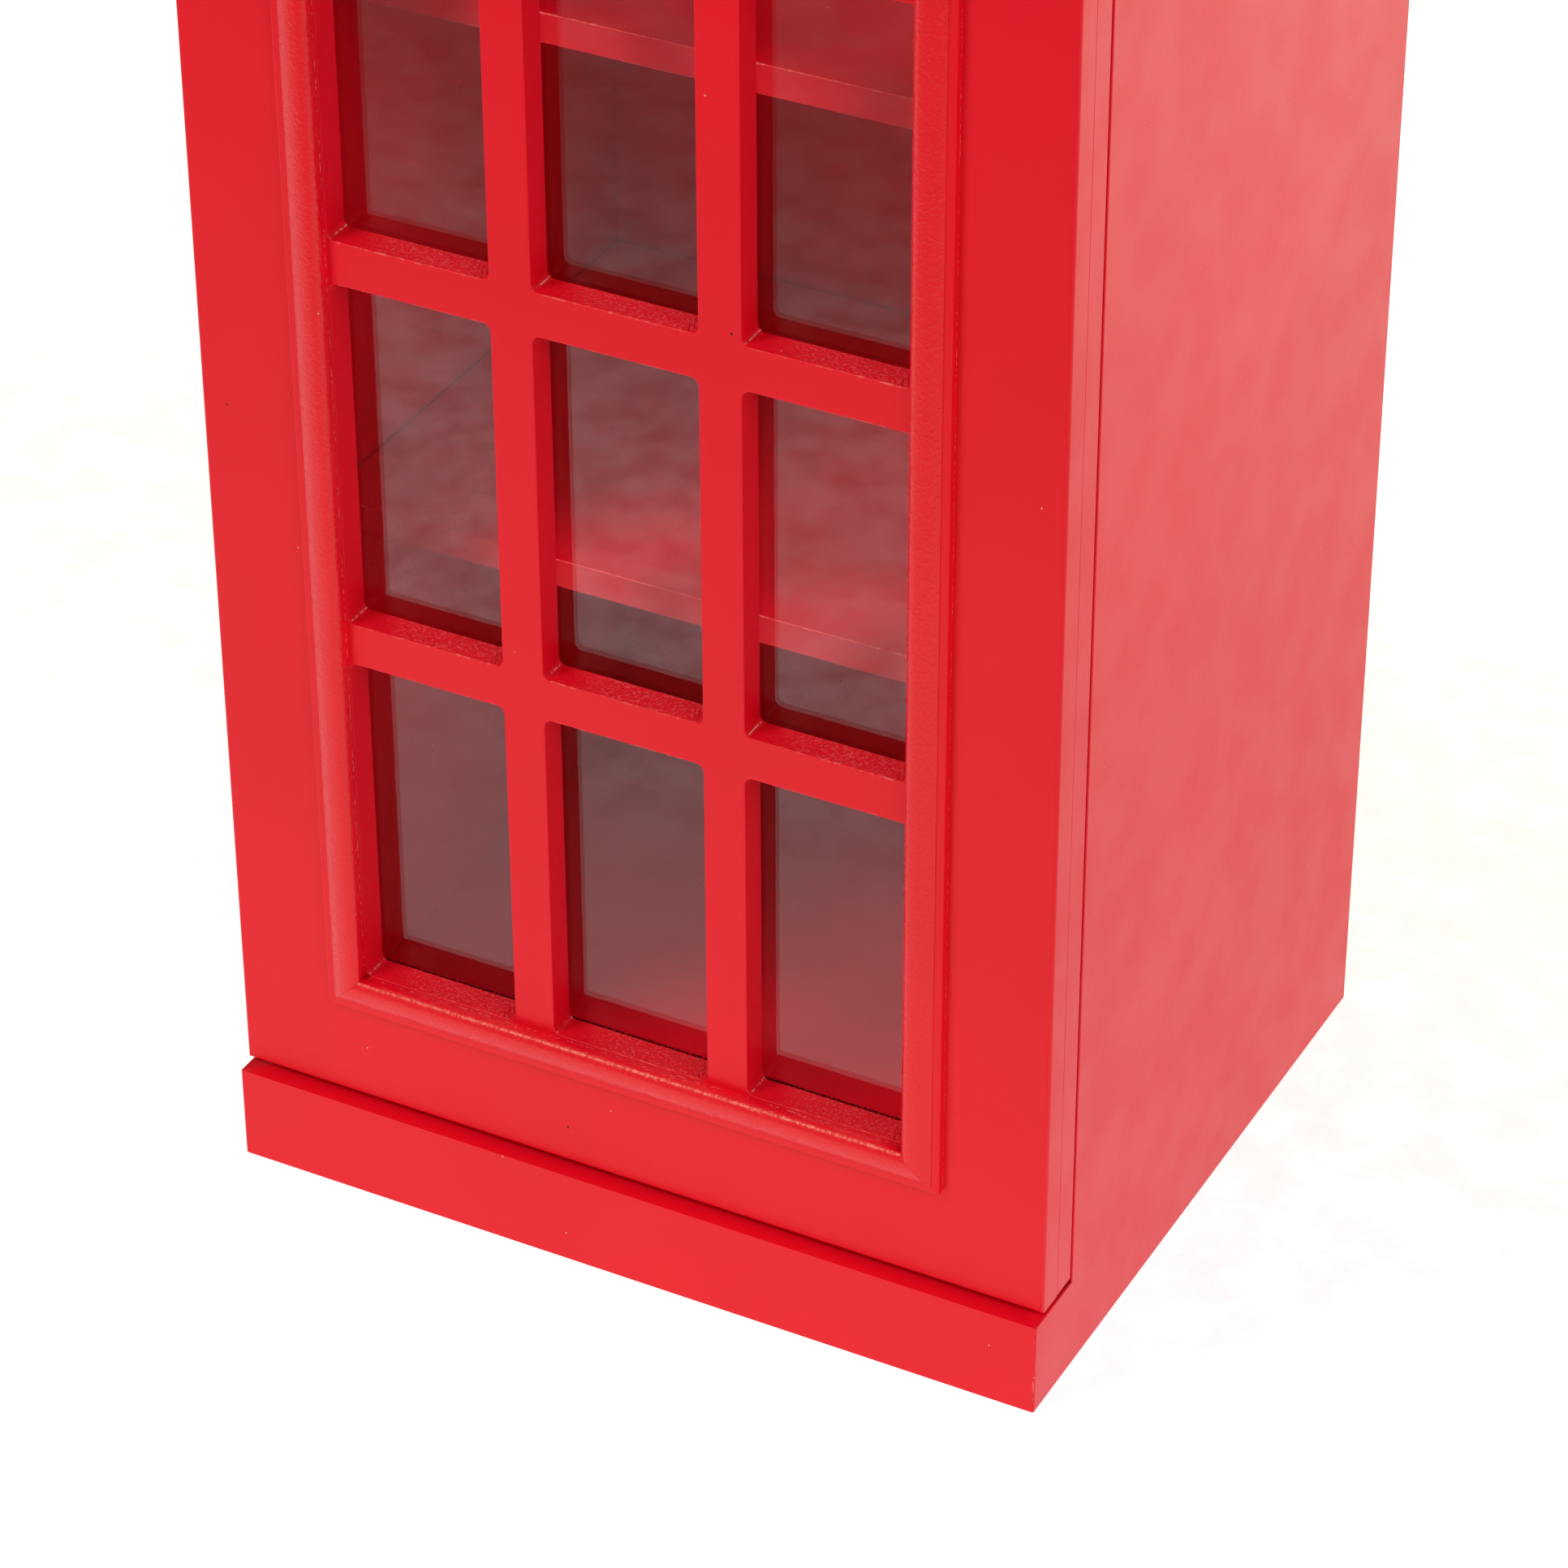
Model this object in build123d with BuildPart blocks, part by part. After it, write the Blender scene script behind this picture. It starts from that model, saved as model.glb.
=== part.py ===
from build123d import *
import os
from math import asin, cos, sin

# Display cabinet in the shape of a telephone booth.
#
# A tall carcass of painted 15.5 mm boards stands on a plinth and carries a sign board, a crown
# moulding and a shallow domed roof.  One glazed door covers the whole front between the plinth and
# the sign board.  It hangs on three butt hinges at the left, and a magnetic catch holds it shut.
#
# Frame: millimetres, +Z up, -Y towards the front, origin at the centre of the footprint on the floor.

# ---------------------------------------------------------------- driving dimensions
BODY_WIDTH = 450.0
BODY_DEPTH = 386.0
BOARD = 15.5                # 15 mm board and its paint
BACK_BOARD = 5.0
REBATE = 8.0                # width of the rebate that takes the back board
PLINTH_HEIGHT = 52.5
CROWN_OVERHANG = 22.0

COLUMNS, ROWS = 3, 6
PANE_WIDTH, PANE_HEIGHT = 85.4, 184.5
MUNTIN_WIDTH, MUNTIN_HEIGHT = 22.0, 22.8
ROUTER_RADIUS = 4.0         # corner radius that the router leaves in each pane opening
RAIL_HEIGHT = 76.4
DOOR_SETBACK = 7.5          # door face behind the plinth face
DOOR_GAP = 3.5              # above and below the door
DOOR_FRAME = 15.5           # frame behind the routed door panel
DOOR_EDGE_RADIUS = 2.0
CLOSING_GAP = 2.0           # between the shut door and the carcass

GLASS = 3.0
GLASS_LAP = 8.0             # glass hidden behind the panel, each side
DOOR_REBATE = 10.0          # frame opening beyond the pane field, each side
GLAZING_WIDTH, GLAZING_DEPTH, GLAZING_BEVEL = 6.0, 8.0, 3.0

BEAD_WIDTH, BEAD_HEIGHT = 20.5, 8.6
BEAD_SHOULDER = 5.6         # radius of the round from its inner side to its crown
BEAD_FILLET_WIDTH, BEAD_FILLET_HEIGHT = 4.2, 4.6  # flat strip along its outer edge
BEAD_QUIRK = 0.6            # small step down to that strip

SHELF_PITCH = 290.4
SHELF_1_TOP = 354.6
SHELVES = 4
SHELF_SETBACK = 84.6        # shelf front behind the plinth face
SHELF_PIN_RADIUS, SHELF_PIN_LENGTH = 2.5, 16.0
SHELF_PIN_INSET = 40.0
SHELF_SIDE_GAP = 1.0

FASCIA_HEIGHT = 125.0
SIGN_WIDTH, SIGN_HEIGHT, SIGN_THICKNESS = 300.0, 64.0, 4.0
SIGN_FRAME_WIDTH, SIGN_FRAME_DEPTH = 12.0, 8.0
SIGN_FRAME_INNER, SIGN_FRAME_OUTER = 5.0, 4.0     # its depth at its two edges

CROWN_HEIGHT, CROWN_INSIDE = 36.0, 24.0
CROWN_STEP_WIDTH, CROWN_STEP_HEIGHT = 5.0, 6.0    # square step under the cove
CROWN_COVE_TOP, CROWN_LIP = 23.0, 4.0             # height of the cove's top, and the lip above it
CROWN_ROUND = 4.0                                 # rounding of the upper front edge
PEDIMENT_INSET = 4.0        # pediment face behind the body face
PEDIMENT_END, PEDIMENT_RISE = 14.0, 40.0
TRIM_WIDTH, TRIM_DEPTH = 10.0, 3.0
ROOF_DROP = 6.0             # roof surface below the pediment's top edge at the corners
ROOF_SHELL, ROOF_SKIRT = 10.0, 12.0

HINGE_HEIGHT, HINGE_PLATE, HINGE_REACH = 60.0, 1.5, 15.0
BARREL_RADIUS, HINGE_PIN_RADIUS, RUNNING_CLEARANCE = 3.2, 1.5, 0.05
KNUCKLES, KNUCKLE_GAP = 5, 0.4
PIN_HEAD_RADIUS, PIN_HEAD_DEPTH = 2.8, 1.8
HINGE_END_DISTANCE = 110.0  # outer hinges' middles from the door's ends
SCREW_RADIUS, SCREW_HEAD_RADIUS, SCREW_LENGTH = 1.5, 2.9, 14.0
SCREW_SPACING = 20.0
SCREW_SINK = 1.5            # depth of the countersunk head
SLOT_WIDTH, SLOT_DEPTH = 0.7, 0.7
PLATE_LAP = 1.0             # how far a knuckle's tongue runs into its plate

DOWEL_RADIUS, DOWEL_LENGTH = 3.0, 20.0
DOWEL_INSET = 45.0
BLOCK_LEG = 32.0            # legs of the triangular blocks in the plinth's corners
BACK_SCREWS_HIGH = 6        # screws up each side of the back board

KNOB_ROW = 4                # the knob stands level with the muntin above this row
KNOB_FOOT_RADIUS, KNOB_FOOT_DEPTH = 9.0, 2.5
KNOB_NECK_RADIUS, KNOB_NECK_DEPTH = 5.5, 7.5
KNOB_WAIST_RADIUS, KNOB_WAIST_DEPTH = 7.0, 12.0   # where the neck turns into the ball
KNOB_RADIUS, KNOB_WIDEST_DEPTH, KNOB_LENGTH = 13.5, 18.5, 26.0
KNOB_FACE_RADIUS, KNOB_FACE_RISE = 9.0, 1.5
KNOB_HOLE_DEPTH = 10.0
KNOB_SCREW_RADIUS, KNOB_SCREW_END_GAP = 2.0, 0.5
KNOB_SCREW_HEAD, KNOB_SCREW_HEAD_DEPTH = 3.8, 2.4
KNOB_SINK_RADIUS, KNOB_SINK_DEPTH = 4.0, 3.0

CATCH_WIDTH, CATCH_DEPTH, CATCH_HEIGHT = 14.0, 15.0, 42.0
CATCH_SCREW_SPACING, CATCH_SCREW_LENGTH = 34.0, 22.0
MAGNET_WIDTH, MAGNET_DEPTH, MAGNET_HEIGHT = 6.0, 9.0, 24.0
STRIKE_WIDTH, STRIKE_HEIGHT, STRIKE_THICKNESS, STRIKE_CORNER = 12.0, 30.0, 1.0, 2.0

# ---------------------------------------------------------------- places worked out from them
HALF = BODY_WIDTH / 2
FRONT = -(BODY_DEPTH + CROWN_OVERHANG) / 2 + CROWN_OVERHANG    # plinth and sign board face
BACK = FRONT + BODY_DEPTH
INNER_HALF = HALF - BOARD
INNER_BACK = BACK - BACK_BOARD
MIDDLE_Y = (FRONT + BACK) / 2

DOOR_FRONT = FRONT + DOOR_SETBACK
GLASS_FRONT = DOOR_FRONT + BOARD
DOOR_BACK = GLASS_FRONT + DOOR_FRAME
CARCASS_FRONT = DOOR_BACK + CLOSING_GAP
FIELD_WIDTH = COLUMNS * PANE_WIDTH + (COLUMNS - 1) * MUNTIN_WIDTH
FIELD_HEIGHT = ROWS * PANE_HEIGHT + (ROWS - 1) * MUNTIN_HEIGHT
DOOR_HEIGHT = FIELD_HEIGHT + 2 * RAIL_HEIGHT
DOOR_BOTTOM = PLINTH_HEIGHT + DOOR_GAP
DOOR_TOP = DOOR_BOTTOM + DOOR_HEIGHT
FIELD_BOTTOM = DOOR_BOTTOM + RAIL_HEIGHT
FIELD_MIDDLE = DOOR_BOTTOM + DOOR_HEIGHT / 2
HEAD_BOTTOM = DOOR_TOP + DOOR_GAP
HEAD_TOP = HEAD_BOTTOM + FASCIA_HEIGHT
CROWN_TOP = HEAD_TOP + CROWN_HEIGHT

SHELF_TOPS = [SHELF_1_TOP + i * SHELF_PITCH for i in range(SHELVES)]
SHELF_FRONT = FRONT + SHELF_SETBACK
SHELF_BACK = INNER_BACK - SHELF_SIDE_GAP
SHELF_PIN_PLACES = [SHELF_FRONT + SHELF_PIN_INSET, SHELF_BACK - SHELF_PIN_INSET]

HINGE_X = -HALF - BARREL_RADIUS
HINGE_Y = (DOOR_BACK + CARCASS_FRONT) / 2
HINGE_MIDDLES = [DOOR_BOTTOM + HINGE_END_DISTANCE, FIELD_MIDDLE, DOOR_TOP - HINGE_END_DISTANCE]
HINGE_SCREW_X = HINGE_X + (BARREL_RADIUS + KNUCKLE_GAP + HINGE_REACH) / 2
STILE_MIDDLE = (HALF + FIELD_WIDTH / 2) / 2
KNOB_FACE_CURVE = (KNOB_FACE_RADIUS**2 + KNOB_FACE_RISE**2) / (2 * KNOB_FACE_RISE)
KNOB_Z = FIELD_BOTTOM + KNOB_ROW * (PANE_HEIGHT + MUNTIN_HEIGHT) - MUNTIN_HEIGHT / 2

STRIKE_X = INNER_HALF - CATCH_WIDTH / 2
CATCH_Z = FIELD_MIDDLE

PANEL_MIDDLES = [PLINTH_HEIGHT - BOARD / 2, HEAD_BOTTOM + BOARD / 2, HEAD_TOP - BOARD / 2]
DOWEL_ROW = [FRONT + BOARD + DOWEL_INSET, MIDDLE_Y, INNER_BACK - DOWEL_INSET]
DOWEL_PLACES = [(y, z) for z in PANEL_MIDDLES for y in DOWEL_ROW]
BACK_SCREW_X = INNER_HALF + REBATE / 2
BACK_SCREW_PITCH = (PANEL_MIDDLES[-1] - PANEL_MIDDLES[0]) / (BACK_SCREWS_HIGH - 1)
BACK_SCREW_ZS = [PANEL_MIDDLES[0] + i * BACK_SCREW_PITCH for i in range(BACK_SCREWS_HIGH)]

finished = []


def keep(part, label):
    """Labels a finished piece and remembers it for writing."""
    part.label = label
    finished.append(part)
    return part


def board(label, x_range, y_range, z_range):
    """A plain rectangular board between two corners."""
    (x0, x1), (y0, y1), (z0, z1) = x_range, y_range, z_range
    with BuildPart() as piece:
        with BuildSketch(Plane.XY.offset(z0)):
            with Locations(((x0 + x1) / 2, (y0 + y1) / 2)):
                Rectangle(x1 - x0, y1 - y0)
        extrude(amount=z1 - z0)
    return keep(piece.part, label)


def facing_front(y):
    """A plane at y whose normal points to the front; its local x and y are world X and Z."""
    return Plane.XZ.offset(-y)


def mitred_strip(start, end, outward, up, outline):
    """A moulding along the inner edge start-end of a frame, mitred at both ends.

    outward points away from the frame's opening and up is the way the moulding stands.
    outline is a closed list of (outward, up) points, or of three such points for an arc.
    """
    start, end, outward, up = Vector(start), Vector(end), Vector(outward), Vector(up)
    run = (end - start).normalized()
    reach = max(point[0] for side in outline for point in side)
    # The section's local x axis is outward and its local y axis is up.
    across = outward.cross(up)
    middle = (start + end) / 2
    length = (end - start).length + 2 * reach
    with BuildPart() as strip:
        with BuildSketch(Plane(origin=middle, x_dir=outward, z_dir=across)):
            with BuildLine():
                for side in outline:
                    if len(side) == 3:
                        ThreePointArc(*side)
                    else:
                        Line(*side)
            make_face()
        extrude(amount=length / 2, both=True)
        split(bisect_by=Plane(origin=start, z_dir=run + outward), keep=Keep.TOP)
        split(bisect_by=Plane(origin=end, z_dir=outward - run), keep=Keep.TOP)
    return strip.part


def closed(points):
    """The straight sides of a closed outline through the given points."""
    return [(points[i], points[(i + 1) % len(points)]) for i in range(len(points))]


def rounded_strip(width, inner, middle, outer):
    """The outline of a flat strip whose top is one low arc, given its three heights."""
    return [
        ((0, 0), (0, inner)),
        ((0, inner), (width / 2, middle), (width, outer)),
        ((width, outer), (width, 0)),
        ((width, 0), (0, 0)),
    ]


def frame_sides(half_width, bottom, top, y):
    """The four inner edges of an upright frame, each with its outward direction."""
    left, right = -half_width, half_width
    return {
        "bottom": ((left, y, bottom), (right, y, bottom), (0, 0, -1)),
        "right": ((right, y, bottom), (right, y, top), (1, 0, 0)),
        "top": ((right, y, top), (left, y, top), (0, 0, 1)),
        "left": ((left, y, top), (left, y, bottom), (-1, 0, 0)),
    }


def screw(place, inward, shank=SCREW_LENGTH, slotted=True):
    """A countersunk screw whose head is flush at place and whose shank runs along inward."""
    with BuildPart() as one:
        with BuildSketch(Plane(origin=place, z_dir=inward)):
            Circle(SCREW_HEAD_RADIUS)
        with BuildSketch(Plane(origin=place, z_dir=inward).offset(SCREW_SINK)):
            Circle(SCREW_RADIUS)
        loft()
        with BuildSketch(Plane(origin=place, z_dir=inward).offset(SCREW_SINK)):
            Circle(SCREW_RADIUS)
        extrude(amount=shank - SCREW_SINK)
        if slotted:
            with BuildSketch(Plane(origin=place, z_dir=inward)):
                Rectangle(2 * SCREW_HEAD_RADIUS, SLOT_WIDTH)
            extrude(amount=SLOT_DEPTH, mode=Mode.SUBTRACT)
    return one.part


def side_dowels(side):
    """All the dowels across the joint between one side and the level boards."""
    with BuildPart() as pegs:
        with BuildSketch(Plane.YZ.offset(side * INNER_HALF - DOWEL_LENGTH / 2)):
            with Locations(*DOWEL_PLACES):
                Circle(DOWEL_RADIUS)
        extrude(amount=DOWEL_LENGTH)
    return pegs.part


def back_screw_places(sides=(-1, 1)):
    return [(side * BACK_SCREW_X, BACK, z) for side in sides for z in BACK_SCREW_ZS]


def hinge_screw_places(y):
    return [
        (HINGE_SCREW_X, y, middle + step * SCREW_SPACING)
        for middle in HINGE_MIDDLES
        for step in (-1, 0, 1)
    ]


def catch_screw_places():
    y = CARCASS_FRONT + CATCH_DEPTH / 2
    return [(INNER_HALF - CATCH_WIDTH, y, CATCH_Z + step * CATCH_SCREW_SPACING / 2) for step in (-1, 1)]


# ---------------------------------------------------------------- carcass boards
def side_panel(label, side):
    """A full-height side.  It is cut back behind the door and reaches the front above and below."""
    outer, inner = side * HALF, side * INNER_HALF
    with BuildPart() as panel:
        with BuildSketch(Plane.YZ.offset(min(outer, inner))):
            with BuildLine():
                Polyline(
                    (FRONT, 0), (BACK, 0), (BACK, HEAD_TOP), (FRONT, HEAD_TOP), (FRONT, HEAD_BOTTOM),
                    (CARCASS_FRONT, HEAD_BOTTOM), (CARCASS_FRONT, PLINTH_HEIGHT), (FRONT, PLINTH_HEIGHT),
                    close=True,
                )
            make_face()
        extrude(amount=BOARD)
        # Mitres that meet the plinth board and the sign board at the front corners.
        for low, high in ((0, PLINTH_HEIGHT), (HEAD_BOTTOM, HEAD_TOP)):
            with BuildSketch(Plane.XY.offset(low)):
                with BuildLine():
                    Polyline((outer, FRONT), (inner, FRONT), (inner, FRONT + BOARD), close=True)
                make_face()
            extrude(amount=high - low, mode=Mode.SUBTRACT)
        # Rebate for the back board.
        with BuildSketch(Plane.XY.offset(PLINTH_HEIGHT - BOARD)):
            with Locations((inner + side * REBATE / 2, BACK - BACK_BOARD / 2)):
                Rectangle(REBATE, BACK_BOARD)
        extrude(amount=HEAD_TOP - PLINTH_HEIGHT + BOARD, mode=Mode.SUBTRACT)
        # Blind holes for the shelf pins.
        holes = [(y, top - BOARD - SHELF_PIN_RADIUS) for top in SHELF_TOPS for y in SHELF_PIN_PLACES]
        with BuildSketch(Plane.YZ.offset(inner)):
            with Locations(*holes):
                Circle(SHELF_PIN_RADIUS)
        extrude(amount=side * SHELF_PIN_LENGTH / 2, mode=Mode.SUBTRACT)
        add(side_dowels(side), mode=Mode.SUBTRACT)
        for place in back_screw_places((side,)):
            add(screw(place, (0, -1, 0), slotted=False), mode=Mode.SUBTRACT)
        if side > 0:
            for place in catch_screw_places():
                add(screw(place, (1, 0, 0), CATCH_SCREW_LENGTH, slotted=False), mode=Mode.SUBTRACT)
        else:
            for middle in HINGE_MIDDLES:
                with BuildSketch(facing_front(CARCASS_FRONT)):
                    with Locations((HINGE_X + HINGE_REACH / 2, middle)):
                        Rectangle(HINGE_REACH, HINGE_HEIGHT)
                extrude(amount=-HINGE_PLATE, mode=Mode.SUBTRACT)
            for place in hinge_screw_places(CARCASS_FRONT):
                add(screw(place, (0, 1, 0), slotted=False), mode=Mode.SUBTRACT)
    return keep(panel.part, label)


def corner_board(label, low, high):
    """A front board whose two ends are mitred to the side panels."""
    with BuildPart() as piece:
        with BuildSketch(Plane.XY.offset(low)):
            with BuildLine():
                Polyline(
                    (-HALF, FRONT), (HALF, FRONT), (INNER_HALF, FRONT + BOARD), (-INNER_HALF, FRONT + BOARD),
                    close=True,
                )
            make_face()
        extrude(amount=high - low)
    return keep(piece.part, label)


side_panel("side_panel_left", -1)
side_panel("side_panel_right", 1)
corner_board("plinth_front", 0, PLINTH_HEIGHT)
corner_board("sign_board", HEAD_BOTTOM, HEAD_TOP)

inside_x = (-INNER_HALF, INNER_HALF)
board("plinth_back", inside_x, (INNER_BACK - BOARD, INNER_BACK), (0, PLINTH_HEIGHT - BOARD))


def dowelled_board(label, middle_z):
    """A level board between the sides, held by a row of dowels at each end."""
    with BuildPart() as piece:
        with BuildSketch(Plane.XY.offset(middle_z - BOARD / 2)):
            with Locations((0, (FRONT + BOARD + INNER_BACK) / 2)):
                Rectangle(2 * INNER_HALF, INNER_BACK - FRONT - BOARD)
        extrude(amount=BOARD)
        for side in (-1, 1):
            add(side_dowels(side), mode=Mode.SUBTRACT)
    return keep(piece.part, label)


for label, middle_z in zip(("floor_panel", "top_panel", "cap_panel"), PANEL_MIDDLES):
    dowelled_board(label, middle_z)

with BuildPart() as carcass_dowels:
    for side in (-1, 1):
        add(side_dowels(side))
keep(carcass_dowels.part, "carcass_dowels")

with BuildPart() as plinth_blocks:
    with BuildSketch(Plane.XY):
        for side in (-1, 1):
            for corner_y, way in ((FRONT + BOARD, 1), (INNER_BACK - BOARD, -1)):
                corner_x = side * INNER_HALF
                with BuildLine():
                    Polyline(
                        (corner_x, corner_y), (corner_x - side * BLOCK_LEG, corner_y),
                        (corner_x, corner_y + way * BLOCK_LEG), close=True,
                    )
                make_face()
    extrude(amount=PLINTH_HEIGHT - BOARD)
keep(plinth_blocks.part, "plinth_blocks")

with BuildPart() as back_panel:
    with BuildSketch(facing_front(BACK)):
        with Locations((0, (PLINTH_HEIGHT - BOARD + HEAD_TOP) / 2)):
            Rectangle(2 * (INNER_HALF + REBATE), HEAD_TOP - PLINTH_HEIGHT + BOARD)
    extrude(amount=BACK_BOARD)
    for place in back_screw_places():
        add(screw(place, (0, -1, 0), slotted=False), mode=Mode.SUBTRACT)
keep(back_panel.part, "back_panel")
keep(Compound(children=[screw(place, (0, -1, 0)) for place in back_screw_places()]), "back_panel_screws")

for number, top in enumerate(SHELF_TOPS, start=1):
    board(
        f"shelf_{number}", (-INNER_HALF + SHELF_SIDE_GAP, INNER_HALF - SHELF_SIDE_GAP),
        (SHELF_FRONT, SHELF_BACK), (top - BOARD, top),
    )

with BuildPart() as shelf_pins:
    for side in (-1, 1):
        middle_x = side * INNER_HALF
        spots = [(y, top - BOARD - SHELF_PIN_RADIUS) for top in SHELF_TOPS for y in SHELF_PIN_PLACES]
        with BuildSketch(Plane.YZ.offset(middle_x - SHELF_PIN_LENGTH / 2)):
            with Locations(*spots):
                Circle(SHELF_PIN_RADIUS)
        extrude(amount=SHELF_PIN_LENGTH)
keep(shelf_pins.part, "shelf_pins")

# ---------------------------------------------------------------- door
with BuildPart() as door_panel:
    with BuildSketch(facing_front(GLASS_FRONT)):
        with Locations((0, FIELD_MIDDLE)):
            Rectangle(BODY_WIDTH, DOOR_HEIGHT)
            with GridLocations(PANE_WIDTH + MUNTIN_WIDTH, PANE_HEIGHT + MUNTIN_HEIGHT, COLUMNS, ROWS):
                RectangleRounded(PANE_WIDTH, PANE_HEIGHT, ROUTER_RADIUS, mode=Mode.SUBTRACT)
    extrude(amount=BOARD)
    front_face = door_panel.faces().sort_by(Axis.Y)[0]
    fillet(front_face.outer_wire().edges(), radius=DOOR_EDGE_RADIUS)
    # Clearance hole for the knob's screw.
    with BuildSketch(facing_front(GLASS_FRONT)):
        with Locations((STILE_MIDDLE, KNOB_Z)):
            Circle(KNOB_SCREW_RADIUS)
    extrude(amount=BOARD, mode=Mode.SUBTRACT)
keep(door_panel.part, "door_panel")

frame_half = FIELD_WIDTH / 2 + DOOR_REBATE
frame_low = FIELD_BOTTOM - DOOR_REBATE
frame_high = FIELD_BOTTOM + FIELD_HEIGHT + DOOR_REBATE
frame_y = (GLASS_FRONT, DOOR_BACK)
board("door_rail_bottom", (-frame_half, frame_half), frame_y, (DOOR_BOTTOM, frame_low))
board("door_rail_top", (-frame_half, frame_half), frame_y, (frame_high, DOOR_TOP))

with BuildPart() as stile_left:
    with BuildSketch(facing_front(DOOR_BACK)):
        with Locations((-(HALF + frame_half) / 2, FIELD_MIDDLE)):
            Rectangle(HALF - frame_half, DOOR_HEIGHT)
    extrude(amount=DOOR_FRAME)
    for middle in HINGE_MIDDLES:
        with BuildSketch(facing_front(DOOR_BACK)):
            with Locations((HINGE_X + HINGE_REACH / 2, middle)):
                Rectangle(HINGE_REACH, HINGE_HEIGHT)
        extrude(amount=HINGE_PLATE, mode=Mode.SUBTRACT)
    for place in hinge_screw_places(DOOR_BACK):
        add(screw(place, (0, -1, 0), slotted=False), mode=Mode.SUBTRACT)
keep(stile_left.part, "door_stile_left")

strike_screw_place = (STRIKE_X, DOOR_BACK + STRIKE_THICKNESS, CATCH_Z)
with BuildPart() as stile_right:
    with BuildSketch(facing_front(DOOR_BACK)):
        with Locations(((HALF + frame_half) / 2, FIELD_MIDDLE)):
            Rectangle(HALF - frame_half, DOOR_HEIGHT)
    extrude(amount=DOOR_FRAME)
    # The knob's screw passes through, and its head sits in a counterbore at the back.
    with Locations(Plane(origin=(STILE_MIDDLE, DOOR_BACK, KNOB_Z), z_dir=(0, 1, 0))):
        CounterBoreHole(KNOB_SCREW_RADIUS, KNOB_SINK_RADIUS, KNOB_SINK_DEPTH, DOOR_FRAME)
    add(screw(strike_screw_place, (0, -1, 0), slotted=False), mode=Mode.SUBTRACT)
keep(stile_right.part, "door_stile_right")

glass_width = FIELD_WIDTH + 2 * GLASS_LAP
glass_height = FIELD_HEIGHT + 2 * GLASS_LAP
board(
    "door_glass", (-glass_width / 2, glass_width / 2), (GLASS_FRONT, GLASS_FRONT + GLASS),
    (FIELD_MIDDLE - glass_height / 2, FIELD_MIDDLE + glass_height / 2),
)

fillet_edge = BEAD_WIDTH - BEAD_FILLET_WIDTH
fall, run = BEAD_HEIGHT - BEAD_FILLET_HEIGHT - BEAD_QUIRK, fillet_edge - BEAD_SHOULDER
fall_radius = (fall**2 + run**2) / (2 * fall)
half_turn = asin(run / fall_radius) / 2
bead_outline = [
    ((0, 0), (0, BEAD_HEIGHT - BEAD_SHOULDER)),
    (
        (0, BEAD_HEIGHT - BEAD_SHOULDER),
        (BEAD_SHOULDER * (1 - 0.5**0.5), BEAD_HEIGHT - BEAD_SHOULDER * (1 - 0.5**0.5)),
        (BEAD_SHOULDER, BEAD_HEIGHT),
    ),
    (
        (BEAD_SHOULDER, BEAD_HEIGHT),
        (BEAD_SHOULDER + fall_radius * sin(half_turn), BEAD_HEIGHT - fall_radius * (1 - cos(half_turn))),
        (fillet_edge, BEAD_HEIGHT - fall),
    ),
    ((fillet_edge, BEAD_HEIGHT - fall), (fillet_edge, BEAD_FILLET_HEIGHT)),
    ((fillet_edge, BEAD_FILLET_HEIGHT), (BEAD_WIDTH, BEAD_FILLET_HEIGHT)),
    ((BEAD_WIDTH, BEAD_FILLET_HEIGHT), (BEAD_WIDTH, 0)),
    ((BEAD_WIDTH, 0), (0, 0)),
]
field_top = FIELD_BOTTOM + FIELD_HEIGHT
for place, (start, end, outward) in frame_sides(FIELD_WIDTH / 2, FIELD_BOTTOM, field_top, DOOR_FRONT).items():
    keep(mitred_strip(start, end, outward, (0, -1, 0), bead_outline), f"door_bead_{place}")

# Glazing beads hold the glass against the panel from inside the frame's rebate.
glazing_outline = closed([
    (0, 0), (0, GLAZING_DEPTH - GLAZING_BEVEL), (GLAZING_BEVEL, GLAZING_DEPTH),
    (GLAZING_WIDTH, GLAZING_DEPTH), (GLAZING_WIDTH, 0),
])
glazing_inset = DOOR_REBATE - GLAZING_WIDTH
glazing_sides = frame_sides(
    FIELD_WIDTH / 2 + glazing_inset, FIELD_BOTTOM - glazing_inset, field_top + glazing_inset,
    GLASS_FRONT + GLASS,
)
glazing_strips = [
    mitred_strip(start, end, outward, (0, 1, 0), glazing_outline)
    for start, end, outward in glazing_sides.values()
]
keep(Compound(children=glazing_strips), "glazing_beads")

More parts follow.
